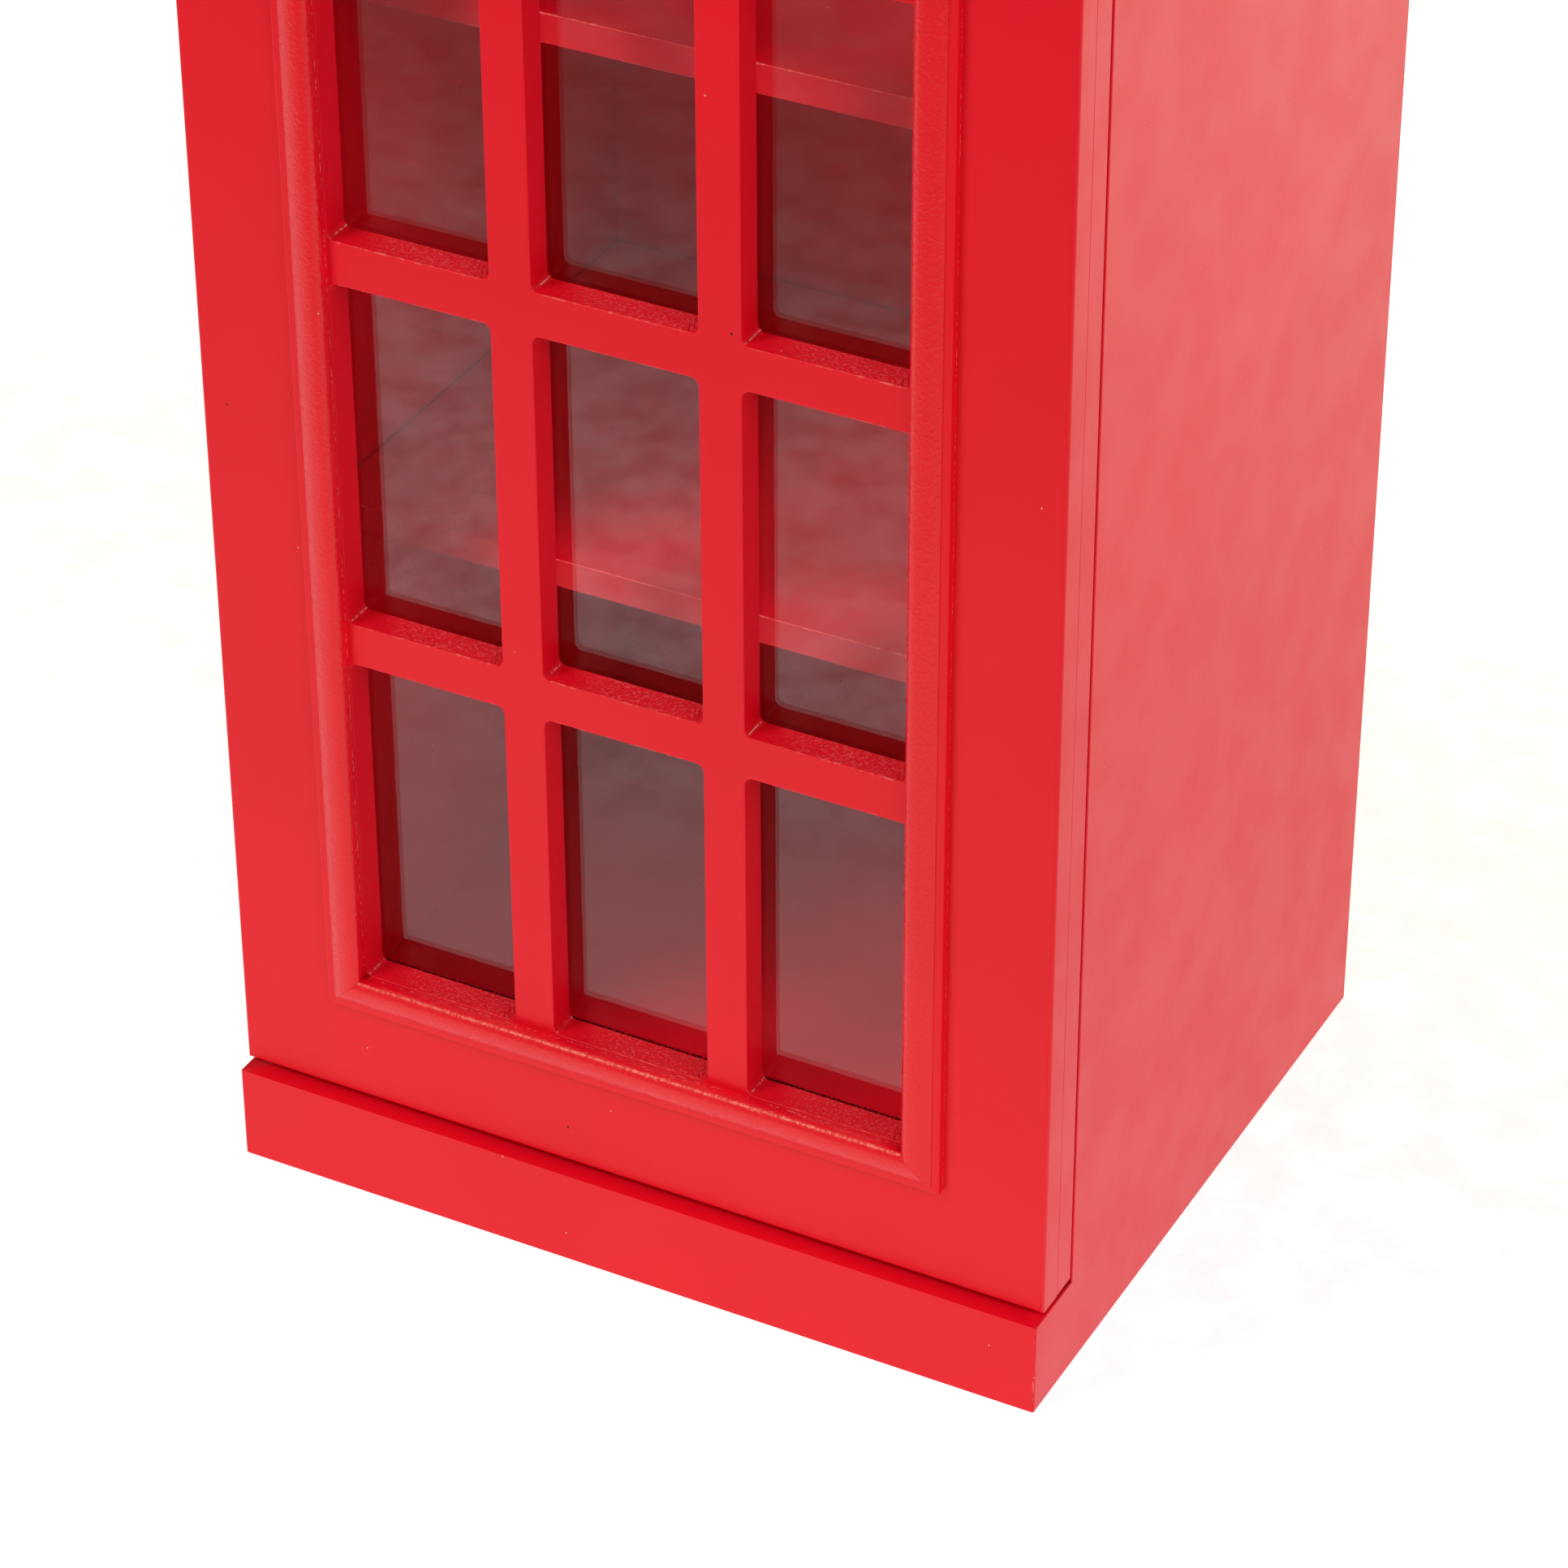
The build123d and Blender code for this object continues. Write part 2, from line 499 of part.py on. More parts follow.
# ---------------------------------------------------------------- knob
with BuildPart() as door_knob:
    knob_plane = Plane(origin=(STILE_MIDDLE, DOOR_FRONT, KNOB_Z), x_dir=(1, 0, 0), z_dir=(0, 0, 1))
    with BuildSketch(knob_plane):
        with BuildLine():
            waist = (KNOB_WAIST_RADIUS, -KNOB_WAIST_DEPTH)
            rim = (KNOB_FACE_RADIUS, -KNOB_LENGTH + KNOB_FACE_RISE)
            Polyline((0, 0), (KNOB_FOOT_RADIUS, 0), (KNOB_FOOT_RADIUS, -KNOB_FOOT_DEPTH))
            ThreePointArc(
                (KNOB_FOOT_RADIUS, -KNOB_FOOT_DEPTH), (KNOB_NECK_RADIUS, -KNOB_NECK_DEPTH), waist
            )
            ThreePointArc(waist, (KNOB_RADIUS, -KNOB_WIDEST_DEPTH), rim)
            RadiusArc(rim, (0, -KNOB_LENGTH), KNOB_FACE_CURVE)
            Line((0, -KNOB_LENGTH), (0, 0))
        make_face()
    revolve(axis=Axis((STILE_MIDDLE, DOOR_FRONT, KNOB_Z), (0, 1, 0)))
    with BuildSketch(facing_front(DOOR_FRONT)):
        with Locations((STILE_MIDDLE, KNOB_Z)):
            Circle(KNOB_SCREW_RADIUS)
    extrude(amount=KNOB_HOLE_DEPTH, mode=Mode.SUBTRACT)
keep(door_knob.part, "door_knob")

with BuildPart() as knob_screw:
    head_seat = DOOR_BACK - KNOB_SINK_DEPTH
    with BuildSketch(facing_front(head_seat)):
        with Locations((STILE_MIDDLE, KNOB_Z)):
            Circle(KNOB_SCREW_HEAD)
    extrude(amount=-KNOB_SCREW_HEAD_DEPTH)
    with BuildSketch(facing_front(head_seat)):
        with Locations((STILE_MIDDLE, KNOB_Z)):
            Circle(KNOB_SCREW_RADIUS)
    extrude(amount=head_seat - DOOR_FRONT + KNOB_HOLE_DEPTH - KNOB_SCREW_END_GAP)
    with BuildSketch(facing_front(head_seat + KNOB_SCREW_HEAD_DEPTH)):
        with Locations((STILE_MIDDLE, KNOB_Z)):
            Rectangle(2 * KNOB_SCREW_HEAD, SLOT_WIDTH)
    extrude(amount=SLOT_DEPTH, mode=Mode.SUBTRACT)
keep(knob_screw.part, "knob_screw")


# ---------------------------------------------------------------- hinges
def knuckle_spans(middle, own):
    """The z spans of the own (True) or other (False) knuckles of the hinge at this height."""
    pitch = HINGE_HEIGHT / KNUCKLES
    low = middle - HINGE_HEIGHT / 2
    return [
        (low + i * pitch + KNUCKLE_GAP / 2, low + (i + 1) * pitch - KNUCKLE_GAP / 2)
        for i in range(KNUCKLES)
        if (i % 2 == 0) == own
    ]


def hinge_leaves(label, plate_y, carcass_side, bore_radius, screws_inward):
    """Three hinge leaves, each a plate with knuckles, drilled for the pin and for three screws."""
    low_y, high_y = plate_y
    near = BARREL_RADIUS + KNUCKLE_GAP
    with BuildPart() as leaves:
        for middle in HINGE_MIDDLES:
            with BuildSketch(Plane.XY.offset(middle - HINGE_HEIGHT / 2)):
                with Locations((HINGE_X + (near + HINGE_REACH) / 2, (low_y + high_y) / 2)):
                    Rectangle(HINGE_REACH - near, HINGE_PLATE)
            extrude(amount=HINGE_HEIGHT)
            for low, high in knuckle_spans(middle, carcass_side):
                with BuildSketch(Plane.XY.offset(low)):
                    with Locations((HINGE_X, HINGE_Y)):
                        Circle(BARREL_RADIUS)
                    with Locations((HINGE_X + (near + PLATE_LAP) / 2, (low_y + high_y) / 2)):
                        Rectangle(near + PLATE_LAP, HINGE_PLATE)
                    with Locations((HINGE_X, HINGE_Y)):
                        Circle(bore_radius, mode=Mode.SUBTRACT)
                extrude(amount=high - low)
        y = low_y if carcass_side else high_y
        for place in hinge_screw_places(y):
            add(screw(place, screws_inward, slotted=False), mode=Mode.SUBTRACT)
    return keep(leaves.part, label)


carcass_plate = (CARCASS_FRONT, CARCASS_FRONT + HINGE_PLATE)
door_plate = (DOOR_BACK - HINGE_PLATE, DOOR_BACK)
hinge_leaves("hinge_leaves_carcass", carcass_plate, True, HINGE_PIN_RADIUS, (0, 1, 0))
hinge_leaves("hinge_leaves_door", door_plate, False, HINGE_PIN_RADIUS + RUNNING_CLEARANCE, (0, -1, 0))

with BuildPart() as hinge_pins:
    for middle in HINGE_MIDDLES:
        low = middle - HINGE_HEIGHT / 2
        with BuildSketch(Plane.XY.offset(low)):
            with Locations((HINGE_X, HINGE_Y)):
                Circle(HINGE_PIN_RADIUS)
        extrude(amount=HINGE_HEIGHT)
        for z in (low - PIN_HEAD_DEPTH, low + HINGE_HEIGHT):
            with BuildSketch(Plane.XY.offset(z)):
                with Locations((HINGE_X, HINGE_Y)):
                    Circle(PIN_HEAD_RADIUS)
            extrude(amount=PIN_HEAD_DEPTH)
keep(hinge_pins.part, "hinge_pins")

keep(
    Compound(children=[screw(place, (0, 1, 0)) for place in hinge_screw_places(CARCASS_FRONT)]),
    "hinge_screws_carcass",
)
keep(
    Compound(children=[screw(place, (0, -1, 0)) for place in hinge_screw_places(DOOR_BACK)]),
    "hinge_screws_door",
)

# ---------------------------------------------------------------- magnetic catch
catch_low = CATCH_Z - CATCH_HEIGHT / 2
with BuildPart() as catch_case:
    with BuildSketch(Plane.XY.offset(catch_low)):
        with Locations((STRIKE_X, CARCASS_FRONT + CATCH_DEPTH / 2)):
            Rectangle(CATCH_WIDTH, CATCH_DEPTH)
    extrude(amount=CATCH_HEIGHT)
    with BuildSketch(facing_front(CARCASS_FRONT)):
        with Locations((STRIKE_X, CATCH_Z)):
            Rectangle(MAGNET_WIDTH, MAGNET_HEIGHT)
    extrude(amount=-MAGNET_DEPTH, mode=Mode.SUBTRACT)
    for place in catch_screw_places():
        add(screw(place, (1, 0, 0), CATCH_SCREW_LENGTH, slotted=False), mode=Mode.SUBTRACT)
keep(catch_case.part, "catch_case")
keep(
    Compound(children=[screw(place, (1, 0, 0), CATCH_SCREW_LENGTH) for place in catch_screw_places()]),
    "catch_screws",
)
board(
    "catch_magnet", (STRIKE_X - MAGNET_WIDTH / 2, STRIKE_X + MAGNET_WIDTH / 2),
    (CARCASS_FRONT, CARCASS_FRONT + MAGNET_DEPTH), (CATCH_Z - MAGNET_HEIGHT / 2, CATCH_Z + MAGNET_HEIGHT / 2),
)
with BuildPart() as catch_strike:
    with BuildSketch(facing_front(DOOR_BACK + STRIKE_THICKNESS)):
        with Locations((STRIKE_X, CATCH_Z)):
            RectangleRounded(STRIKE_WIDTH, STRIKE_HEIGHT, STRIKE_CORNER)
    extrude(amount=STRIKE_THICKNESS)
    add(screw(strike_screw_place, (0, -1, 0), slotted=False), mode=Mode.SUBTRACT)
keep(catch_strike.part, "catch_strike")
keep(screw(strike_screw_place, (0, -1, 0)), "strike_screw")

# ---------------------------------------------------------------- sign
sign_z = (HEAD_BOTTOM + HEAD_TOP) / 2
board(
    "sign_panel", (-SIGN_WIDTH / 2, SIGN_WIDTH / 2), (FRONT - SIGN_THICKNESS, FRONT),
    (sign_z - SIGN_HEIGHT / 2, sign_z + SIGN_HEIGHT / 2),
)
sign_outline = rounded_strip(SIGN_FRAME_WIDTH, SIGN_FRAME_INNER, SIGN_FRAME_DEPTH, SIGN_FRAME_OUTER)
sign_edges = frame_sides(SIGN_WIDTH / 2, sign_z - SIGN_HEIGHT / 2, sign_z + SIGN_HEIGHT / 2, FRONT)
sign_strips = [
    mitred_strip(start, end, outward, (0, -1, 0), sign_outline)
    for start, end, outward in sign_edges.values()
]
keep(Compound(children=sign_strips), "sign_frame")

# ---------------------------------------------------------------- crown moulding
# Section: outward from the inside edge of the ring, up from the top of the carcass.
step_out = CROWN_INSIDE + CROWN_STEP_WIDTH
nose = CROWN_INSIDE + CROWN_OVERHANG
lip = nose - CROWN_LIP
cove_bulge = 0.3            # how far the cove's middle lies inside the straight line between its ends
cove_middle = (
    (step_out + lip) / 2 - cove_bulge * (CROWN_COVE_TOP - CROWN_STEP_HEIGHT) / 2,
    (CROWN_STEP_HEIGHT + CROWN_COVE_TOP) / 2 + cove_bulge * (lip - step_out) / 2,
)
round_middle = (nose - CROWN_ROUND * (1 - 0.5**0.5), CROWN_HEIGHT - CROWN_ROUND * (1 - 0.5**0.5))
crown_outline = [
    ((0, 0), (step_out, 0)),
    ((step_out, 0), (step_out, CROWN_STEP_HEIGHT)),
    ((step_out, CROWN_STEP_HEIGHT), cove_middle, (lip, CROWN_COVE_TOP)),
    ((lip, CROWN_COVE_TOP), (nose, CROWN_COVE_TOP)),
    ((nose, CROWN_COVE_TOP), (nose, CROWN_HEIGHT - CROWN_ROUND)),
    ((nose, CROWN_HEIGHT - CROWN_ROUND), round_middle, (nose - CROWN_ROUND, CROWN_HEIGHT)),
    ((nose - CROWN_ROUND, CROWN_HEIGHT), (0, CROWN_HEIGHT)),
    ((0, CROWN_HEIGHT), (0, 0)),
]
ring_x, ring_front, ring_back = HALF - CROWN_INSIDE, FRONT + CROWN_INSIDE, BACK - CROWN_INSIDE
beyond = CROWN_OVERHANG + CROWN_INSIDE
crown_front = mitred_strip(
    (ring_x, ring_front, HEAD_TOP), (-ring_x, ring_front, HEAD_TOP), (0, -1, 0), (0, 0, 1), crown_outline
)
keep(crown_front, "crown_front")
for name, side in (("left", -1), ("right", 1)):
    # The side pieces run on past the inside corner and are sawn square, flush with the back.
    start, end = (side * ring_x, ring_front, HEAD_TOP), (side * ring_x, BACK + beyond, HEAD_TOP)
    long_piece = mitred_strip(start, end, (side, 0, 0), (0, 0, 1), crown_outline)
    with BuildPart() as crown_side:
        add(long_piece)
        split(bisect_by=Plane(origin=(0, BACK, 0), z_dir=(0, -1, 0)), keep=Keep.TOP)
    keep(crown_side.part, f"crown_{name}")
board("crown_back", (-ring_x, ring_x), (ring_back, BACK), (HEAD_TOP, CROWN_TOP))

# ---------------------------------------------------------------- pediments and roof
ped_half_x = HALF - PEDIMENT_INSET
ped_half_y = BODY_DEPTH / 2 - PEDIMENT_INSET
ARC_RADIUS = (ped_half_x**2 + PEDIMENT_RISE**2) / (2 * PEDIMENT_RISE)


def arc_height(distance, half):
    """Height above the crown of the pediment's arc, this far from the middle of a side."""
    return PEDIMENT_END + (ARC_RADIUS**2 - distance**2) ** 0.5 - (ARC_RADIUS**2 - half**2) ** 0.5


def pediment(label, plane, half_board, half_side):
    """An arched board that stands on the crown; the plane's local x runs along the board."""
    end, crest = arc_height(half_board, half_side), arc_height(0, half_side)
    with BuildPart() as arch:
        with BuildSketch(plane):
            with BuildLine():
                Line((-half_board, 0), (half_board, 0))
                Line((half_board, 0), (half_board, end))
                ThreePointArc((half_board, end), (0, crest), (-half_board, end))
                Line((-half_board, end), (-half_board, 0))
            make_face()
        extrude(amount=-BOARD)
    return keep(arch.part, label)


def pediment_trim(label, plane, half_board, half_side):
    """A flat raised band that follows the arch on the face of a pediment."""
    end, crest = arc_height(half_board, half_side), arc_height(0, half_side)
    with BuildPart() as band:
        with BuildSketch(plane):
            with BuildLine():
                Line((-half_board, end - TRIM_WIDTH), (-half_board, end))
                ThreePointArc((-half_board, end), (0, crest), (half_board, end))
                Line((half_board, end), (half_board, end - TRIM_WIDTH))
                ThreePointArc(
                    (half_board, end - TRIM_WIDTH), (0, crest - TRIM_WIDTH), (-half_board, end - TRIM_WIDTH)
                )
            make_face()
        extrude(amount=TRIM_DEPTH)
    return keep(band.part, label)


front_arch = Plane(origin=(0, MIDDLE_Y - ped_half_y, CROWN_TOP), x_dir=(1, 0, 0), z_dir=(0, -1, 0))
back_arch = Plane(origin=(0, MIDDLE_Y + ped_half_y, CROWN_TOP), x_dir=(-1, 0, 0), z_dir=(0, 1, 0))
right_arch = Plane(origin=(ped_half_x, MIDDLE_Y, CROWN_TOP), x_dir=(0, 1, 0), z_dir=(1, 0, 0))
left_arch = Plane(origin=(-ped_half_x, MIDDLE_Y, CROWN_TOP), x_dir=(0, -1, 0), z_dir=(-1, 0, 0))
short_half = ped_half_y - BOARD
pediment("pediment_front", front_arch, ped_half_x, ped_half_x)
pediment("pediment_back", back_arch, ped_half_x, ped_half_x)
pediment("pediment_right", right_arch, short_half, ped_half_y)
pediment("pediment_left", left_arch, short_half, ped_half_y)
pediment_trim("pediment_trim_front", front_arch, ped_half_x, ped_half_x)
pediment_trim("pediment_trim_right", right_arch, ped_half_y, ped_half_y)
pediment_trim("pediment_trim_left", left_arch, ped_half_y, ped_half_y)

# The roof is a lid: part of a sphere on a low skirt, fitted between the four pediments.
roof_x, roof_y = ped_half_x - BOARD, ped_half_y - BOARD
corner_z = CROWN_TOP + PEDIMENT_END - ROOF_DROP
SPHERE_Z = corner_z - (ARC_RADIUS**2 - ped_half_x**2 - ped_half_y**2) ** 0.5


def domed_block(half_x, half_y, radius):
    """An upright block on the crown whose top is part of the roof's sphere."""
    with BuildPart() as block:
        with BuildSketch(Plane.XY.offset(CROWN_TOP)):
            with Locations((0, MIDDLE_Y)):
                Rectangle(2 * half_x, 2 * half_y)
        extrude(amount=radius)
        with Locations((0, MIDDLE_Y, SPHERE_Z)):
            Sphere(radius, mode=Mode.INTERSECT)
    return block.part


roof_hollow = domed_block(roof_x - ROOF_SKIRT, roof_y - ROOF_SKIRT, ARC_RADIUS - ROOF_SHELL)
with BuildPart() as roof_dome:
    add(domed_block(roof_x, roof_y, ARC_RADIUS))
    add(roof_hollow, mode=Mode.SUBTRACT)
keep(roof_dome.part, "roof_dome")

# ---------------------------------------------------------------- write
os.makedirs("parts", exist_ok=True)
for piece in finished:
    export_step(piece, f"parts/{piece.label}.step")
print(len(finished), "pieces; overall height", round(SPHERE_Z + ARC_RADIUS, 1), "mm")
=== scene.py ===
import math

import bmesh
import bpy
from mathutils import Matrix, Vector


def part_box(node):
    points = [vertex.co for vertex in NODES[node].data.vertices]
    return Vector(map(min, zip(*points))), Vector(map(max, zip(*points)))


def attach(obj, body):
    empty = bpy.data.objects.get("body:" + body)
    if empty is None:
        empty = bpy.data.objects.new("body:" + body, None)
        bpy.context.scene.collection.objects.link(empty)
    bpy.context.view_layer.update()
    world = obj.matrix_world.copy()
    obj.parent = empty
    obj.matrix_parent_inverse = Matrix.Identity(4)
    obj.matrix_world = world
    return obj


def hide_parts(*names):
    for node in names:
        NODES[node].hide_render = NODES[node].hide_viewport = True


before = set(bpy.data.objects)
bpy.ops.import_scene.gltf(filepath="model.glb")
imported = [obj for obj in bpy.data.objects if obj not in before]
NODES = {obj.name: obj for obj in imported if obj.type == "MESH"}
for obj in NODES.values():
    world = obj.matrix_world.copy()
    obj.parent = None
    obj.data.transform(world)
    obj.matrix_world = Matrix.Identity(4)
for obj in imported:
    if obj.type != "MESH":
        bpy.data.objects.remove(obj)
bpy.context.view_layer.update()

# Looks of a display cabinet in the shape of a telephone booth.  Metres, +Z up, front to -Y.
# Plain boards and the glass keep the frame's shapes and get eased edges.  The routed door panel, the
# mouldings, the arched head and the knob are modelled here from the same dimensions as the frame's.
# Small hardware keeps its own mesh and only gets a finish.

MM = 0.001


# ---------------------------------------------------------------- places taken from the frame
def edges_of(node):
    """Lowest and highest corner of a frame node as plain tuples."""
    low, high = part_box(node)
    return tuple(low), tuple(high)


panel_low, panel_high = edges_of("door_panel")
plinth_low, plinth_high = edges_of("plinth_front")
bead_low, bead_high = edges_of("door_bead_bottom")
crown_low, crown_high = edges_of("crown_front")
side_high = edges_of("side_panel_right")[1]

HALF = plinth_high[0]
FRONT = plinth_low[1]
BACK = side_high[1]
MIDDLE_Y = (FRONT + BACK) / 2
BOARD = panel_high[1] - panel_low[1]
DOOR_FRONT, GLASS_FRONT = panel_low[1], panel_high[1]

# Pane field and mouldings, as in the frame's design.
COLUMNS, ROWS = 3, 6
PANE_W, PANE_H = 85.4 * MM, 184.5 * MM
MUNTIN_W, MUNTIN_H = 22.0 * MM, 22.8 * MM
ROUTER_RADIUS = 4.0 * MM
FIELD_HALF = (COLUMNS * PANE_W + (COLUMNS - 1) * MUNTIN_W) / 2
FIELD_LOW = bead_high[2]
FIELD_HIGH = FIELD_LOW + ROWS * PANE_H + (ROWS - 1) * MUNTIN_H
BEAD_W, BEAD_TOP = bead_high[2] - bead_low[2], DOOR_FRONT - bead_low[1]
BEAD_SHOULDER, BEAD_FILLET_W, BEAD_FILLET_H, BEAD_QUIRK = 5.6 * MM, 4.2 * MM, 4.6 * MM, 0.6 * MM
SIGN_FRAME_INNER, SIGN_FRAME_OUTER = 5 * MM, 4 * MM
CROWN_INSIDE, CROWN_OVERHANG, CROWN_H = 24 * MM, 22 * MM, crown_high[2] - crown_low[2]
CROWN_STEP_OUT, CROWN_STEP_UP, CROWN_COVE_TOP = 5 * MM, 6 * MM, 23 * MM
CROWN_LIP, CROWN_ROUND, CROWN_BULGE = 4 * MM, 4 * MM, 0.3
PEDIMENT_INSET, PEDIMENT_END, PEDIMENT_RISE = 4 * MM, 14 * MM, 40 * MM
TRIM_W, TRIM_D = 10 * MM, 3 * MM
ROOF_DROP, ROOF_SHELL, ROOF_SKIRT = 6 * MM, 10 * MM, 12 * MM

# Roundings that only the visual model has.
BOARD_EASE, THIN_EASE, SIGN_EASE, GLASS_EASE = 0.7 * MM, 0.4 * MM, 0.6 * MM, 0.35 * MM
TRIM_EASE, ROOF_EASE, LIP_EASE = 0.8 * MM, 1.0 * MM, 0.5 * MM
CORNER_ROUND, DOOR_EDGE_ROUND = 1.3 * MM, 2.0 * MM
HAIRLINE = 0.06 * MM  # kept open in the mitres of mouldings


# ---------------------------------------------------------------- node helpers
class Nodes:
    """A thin wrapper that adds nodes to a material and links them."""

    def __init__(self, name):
        self.material = bpy.data.materials.new(name)
        self.material.use_nodes = True
        self.tree = self.material.node_tree
        self.shader = self.tree.nodes["Principled BSDF"]
        self.coords = self.add("ShaderNodeTexCoord").outputs["Object"]

    def add(self, kind, **settings):
        node = self.tree.nodes.new(kind)
        for key, value in settings.items():
            setattr(node, key, value)
        return node

    def set(self, socket, value):
        """Links a socket, or sets it when value is a plain number or colour."""
        if isinstance(value, bpy.types.NodeSocket):
            self.tree.links.new(value, socket)
        elif isinstance(value, (tuple, list)) and len(value) == 3 and len(socket.default_value) == 4:
            socket.default_value = (*value, 1)
        else:
            socket.default_value = value

    def math(self, operation, *values, clamp=False):
        node = self.add("ShaderNodeMath", operation=operation, use_clamp=clamp)
        for socket, value in zip(node.inputs, values):
            self.set(socket, value)
        return node.outputs[0]

    def split_coords(self):
        """Object coordinates as three sockets."""
        node = self.add("ShaderNodeSeparateXYZ")
        self.set(node.inputs[0], self.coords)
        return node.outputs[0], node.outputs[1], node.outputs[2]

    def stretched(self, scale):
        """Object coordinates multiplied by scale along each axis."""
        node = self.add("ShaderNodeVectorMath", operation="MULTIPLY")
        self.set(node.inputs[0], self.coords)
        node.inputs[1].default_value = scale
        return node.outputs[0]

    def noise(self, scale, detail=2.0, roughness=0.5, vector=None, distortion=0.0):
        """Noise with about scale features in a metre."""
        node = self.add("ShaderNodeTexNoise")
        self.set(node.inputs["Vector"], vector or self.coords)
        node.inputs["Scale"].default_value = scale
        node.inputs["Detail"].default_value = detail
        node.inputs["Roughness"].default_value = roughness
        node.inputs["Distortion"].default_value = distortion
        return node.outputs["Fac"]

    def spread(self, value, low, high, to_low=0.0, to_high=1.0):
        """Maps low..high of a value to to_low..to_high, smoothly and clamped."""
        node = self.add("ShaderNodeMapRange", interpolation_type="SMOOTHSTEP")
        for socket, item in zip(node.inputs, (value, low, high, to_low, to_high)):
            self.set(socket, item)
        return node.outputs["Result"]

    def spots(self, scale, radius, share, vector=None):
        """1 inside sparse round spots: scale cells in a metre, radius in cells, share of cells used."""
        cells = self.add("ShaderNodeTexVoronoi")
        self.set(cells.inputs["Vector"], vector or self.coords)
        cells.inputs["Scale"].default_value = scale
        inside = self.spread(cells.outputs["Distance"], radius, radius * 0.6)
        pick = self.add("ShaderNodeSeparateColor")
        self.set(pick.inputs[0], cells.outputs["Color"])
        return self.math("MULTIPLY", inside, self.math("LESS_THAN", pick.outputs[0], share))

    def mix(self, factor, a, b):
        node = self.add("ShaderNodeMix", data_type="RGBA")
        self.set(node.inputs["Factor"], factor)
        self.set(node.inputs[6], a)
        self.set(node.inputs[7], b)
        return node.outputs[2]

    def bump(self, height, distance, normal=None):
        """A relief that is distance high, on top of another normal where one is given."""
        node = self.add("ShaderNodeBump")
        self.set(node.inputs["Height"], height)
        node.inputs["Distance"].default_value = distance
        node.inputs["Strength"].default_value = 1.0
        if normal is not None:
            self.set(node.inputs["Normal"], normal)
        return node.outputs[0]

    def finish(self, **sockets):
        """Sets or links the shader's sockets, named with _ for a space."""
        for name, value in sockets.items():
            self.set(self.shader.inputs[name.replace("_", " ")], value)
        return self.material


# ---------------------------------------------------------------- materials
RED = (0.850, 0.0034, 0.0180)
RED_DEEP = (0.810, 0.0026, 0.0165)
RED_PALE = (0.920, 0.140, 0.130)
RED_CRUMB = (0.90, 0.14, 0.15)
RED_RIDGE = (0.88, 0.24, 0.22)
RED_LINE = (0.90, 0.30, 0.28)
PIT = (0.090, 0.002, 0.003)
DUST = (0.930, 0.480, 0.430)
CUTTER_STEP, CUTTER_SLANT = 2.6 * MM, 0.45  # grooves of the router at an opening's right end
PAINT_SHEEN = dict(IOR=1.32, Specular_Tint=(1.0, 0.97, 0.68))
BEAD_SHEEN = dict(IOR=1.42, Specular_Tint=(1.0, 0.97, 0.68))


def paint_base(n, grain=(1, 1, 1), brushed=False):
    """Satin paint: slow tone changes, roller or brush texture, a few pits and dust nibs.

    Gives colour, roughness and normal.  grain shapes the unevenness and strokes: below 1 is longer.
    """
    slow = n.noise(5.0, 3.0)
    colour = n.mix(n.spread(slow, 0.3, 0.7), RED_DEEP, RED)
    nibs = n.spots(85.0, 0.050, 0.10)
    pits = n.spots(52.0, 0.040, 0.14, n.stretched((1, 1, 0.75)))
    colour = n.mix(n.math("MULTIPLY", nibs, 0.8), colour, DUST)
    colour = n.mix(n.math("MULTIPLY", pits, 0.9), colour, PIT)
    normal = n.bump(n.noise(420.0, 2.0), 0.05 * MM)
    unevenness = 0.005 * MM if brushed else 0.05 * MM
    normal = n.bump(n.noise(60.0, 2.0, vector=n.stretched(grain)), unevenness, normal)
    if brushed:
        strokes = n.noise(900.0, 2.0, 0.6, vector=n.stretched(grain))
        normal = n.bump(strokes, 0.02 * MM, normal)
    normal = n.bump(n.math("SUBTRACT", nibs, pits), 0.3 * MM, normal)
    rough = n.spread(n.noise(30.0, 3.0), 0.3, 0.7, 0.30, 0.38)
    return colour, rough, normal


def paint(name, grain, brushed=False):
    n = Nodes(name)
    colour, rough, normal = paint_base(n, grain, brushed)
    return n.finish(Base_Color=colour, Roughness=rough, Normal=normal, **PAINT_SHEEN)


def paint_edge():
    """Paint on eased edges, paler and slightly raised in short broken runs."""
    n = Nodes("paint_edge")
    colour, rough, normal = paint_base(n)
    # paler, slightly raised short broken runs along the eased edge
    paler_runs = n.spread(n.noise(260.0, 3.0, 0.6), 0.50, 0.62)
    paler_runs = n.math("MULTIPLY", paler_runs, n.spread(n.noise(14.0, 2.0), 0.40, 0.58, 0.25, 0.80))
    colour = n.mix(paler_runs, colour, RED_PALE)
    return n.finish(
        Base_Color=colour, Roughness=rough, Normal=n.bump(paler_runs, 0.05 * MM, normal), **PAINT_SHEEN
    )


def paint_bead():
    """Thick paint on the round of a bead, slightly lumpy."""
    n = Nodes("paint_bead")
    colour, _, normal = paint_base(n)
    lumps = n.spread(n.noise(520.0, 2.0), 0.45, 0.75)
    normal = n.bump(lumps, 0.12 * MM, normal)
    normal = n.bump(n.noise(150.0, 2.0), 0.04 * MM, normal)
    rough = n.spread(n.noise(45.0, 3.0), 0.3, 0.7, 0.24, 0.30)
    return n.finish(Base_Color=colour, Roughness=rough, Normal=normal, **BEAD_SHEEN)


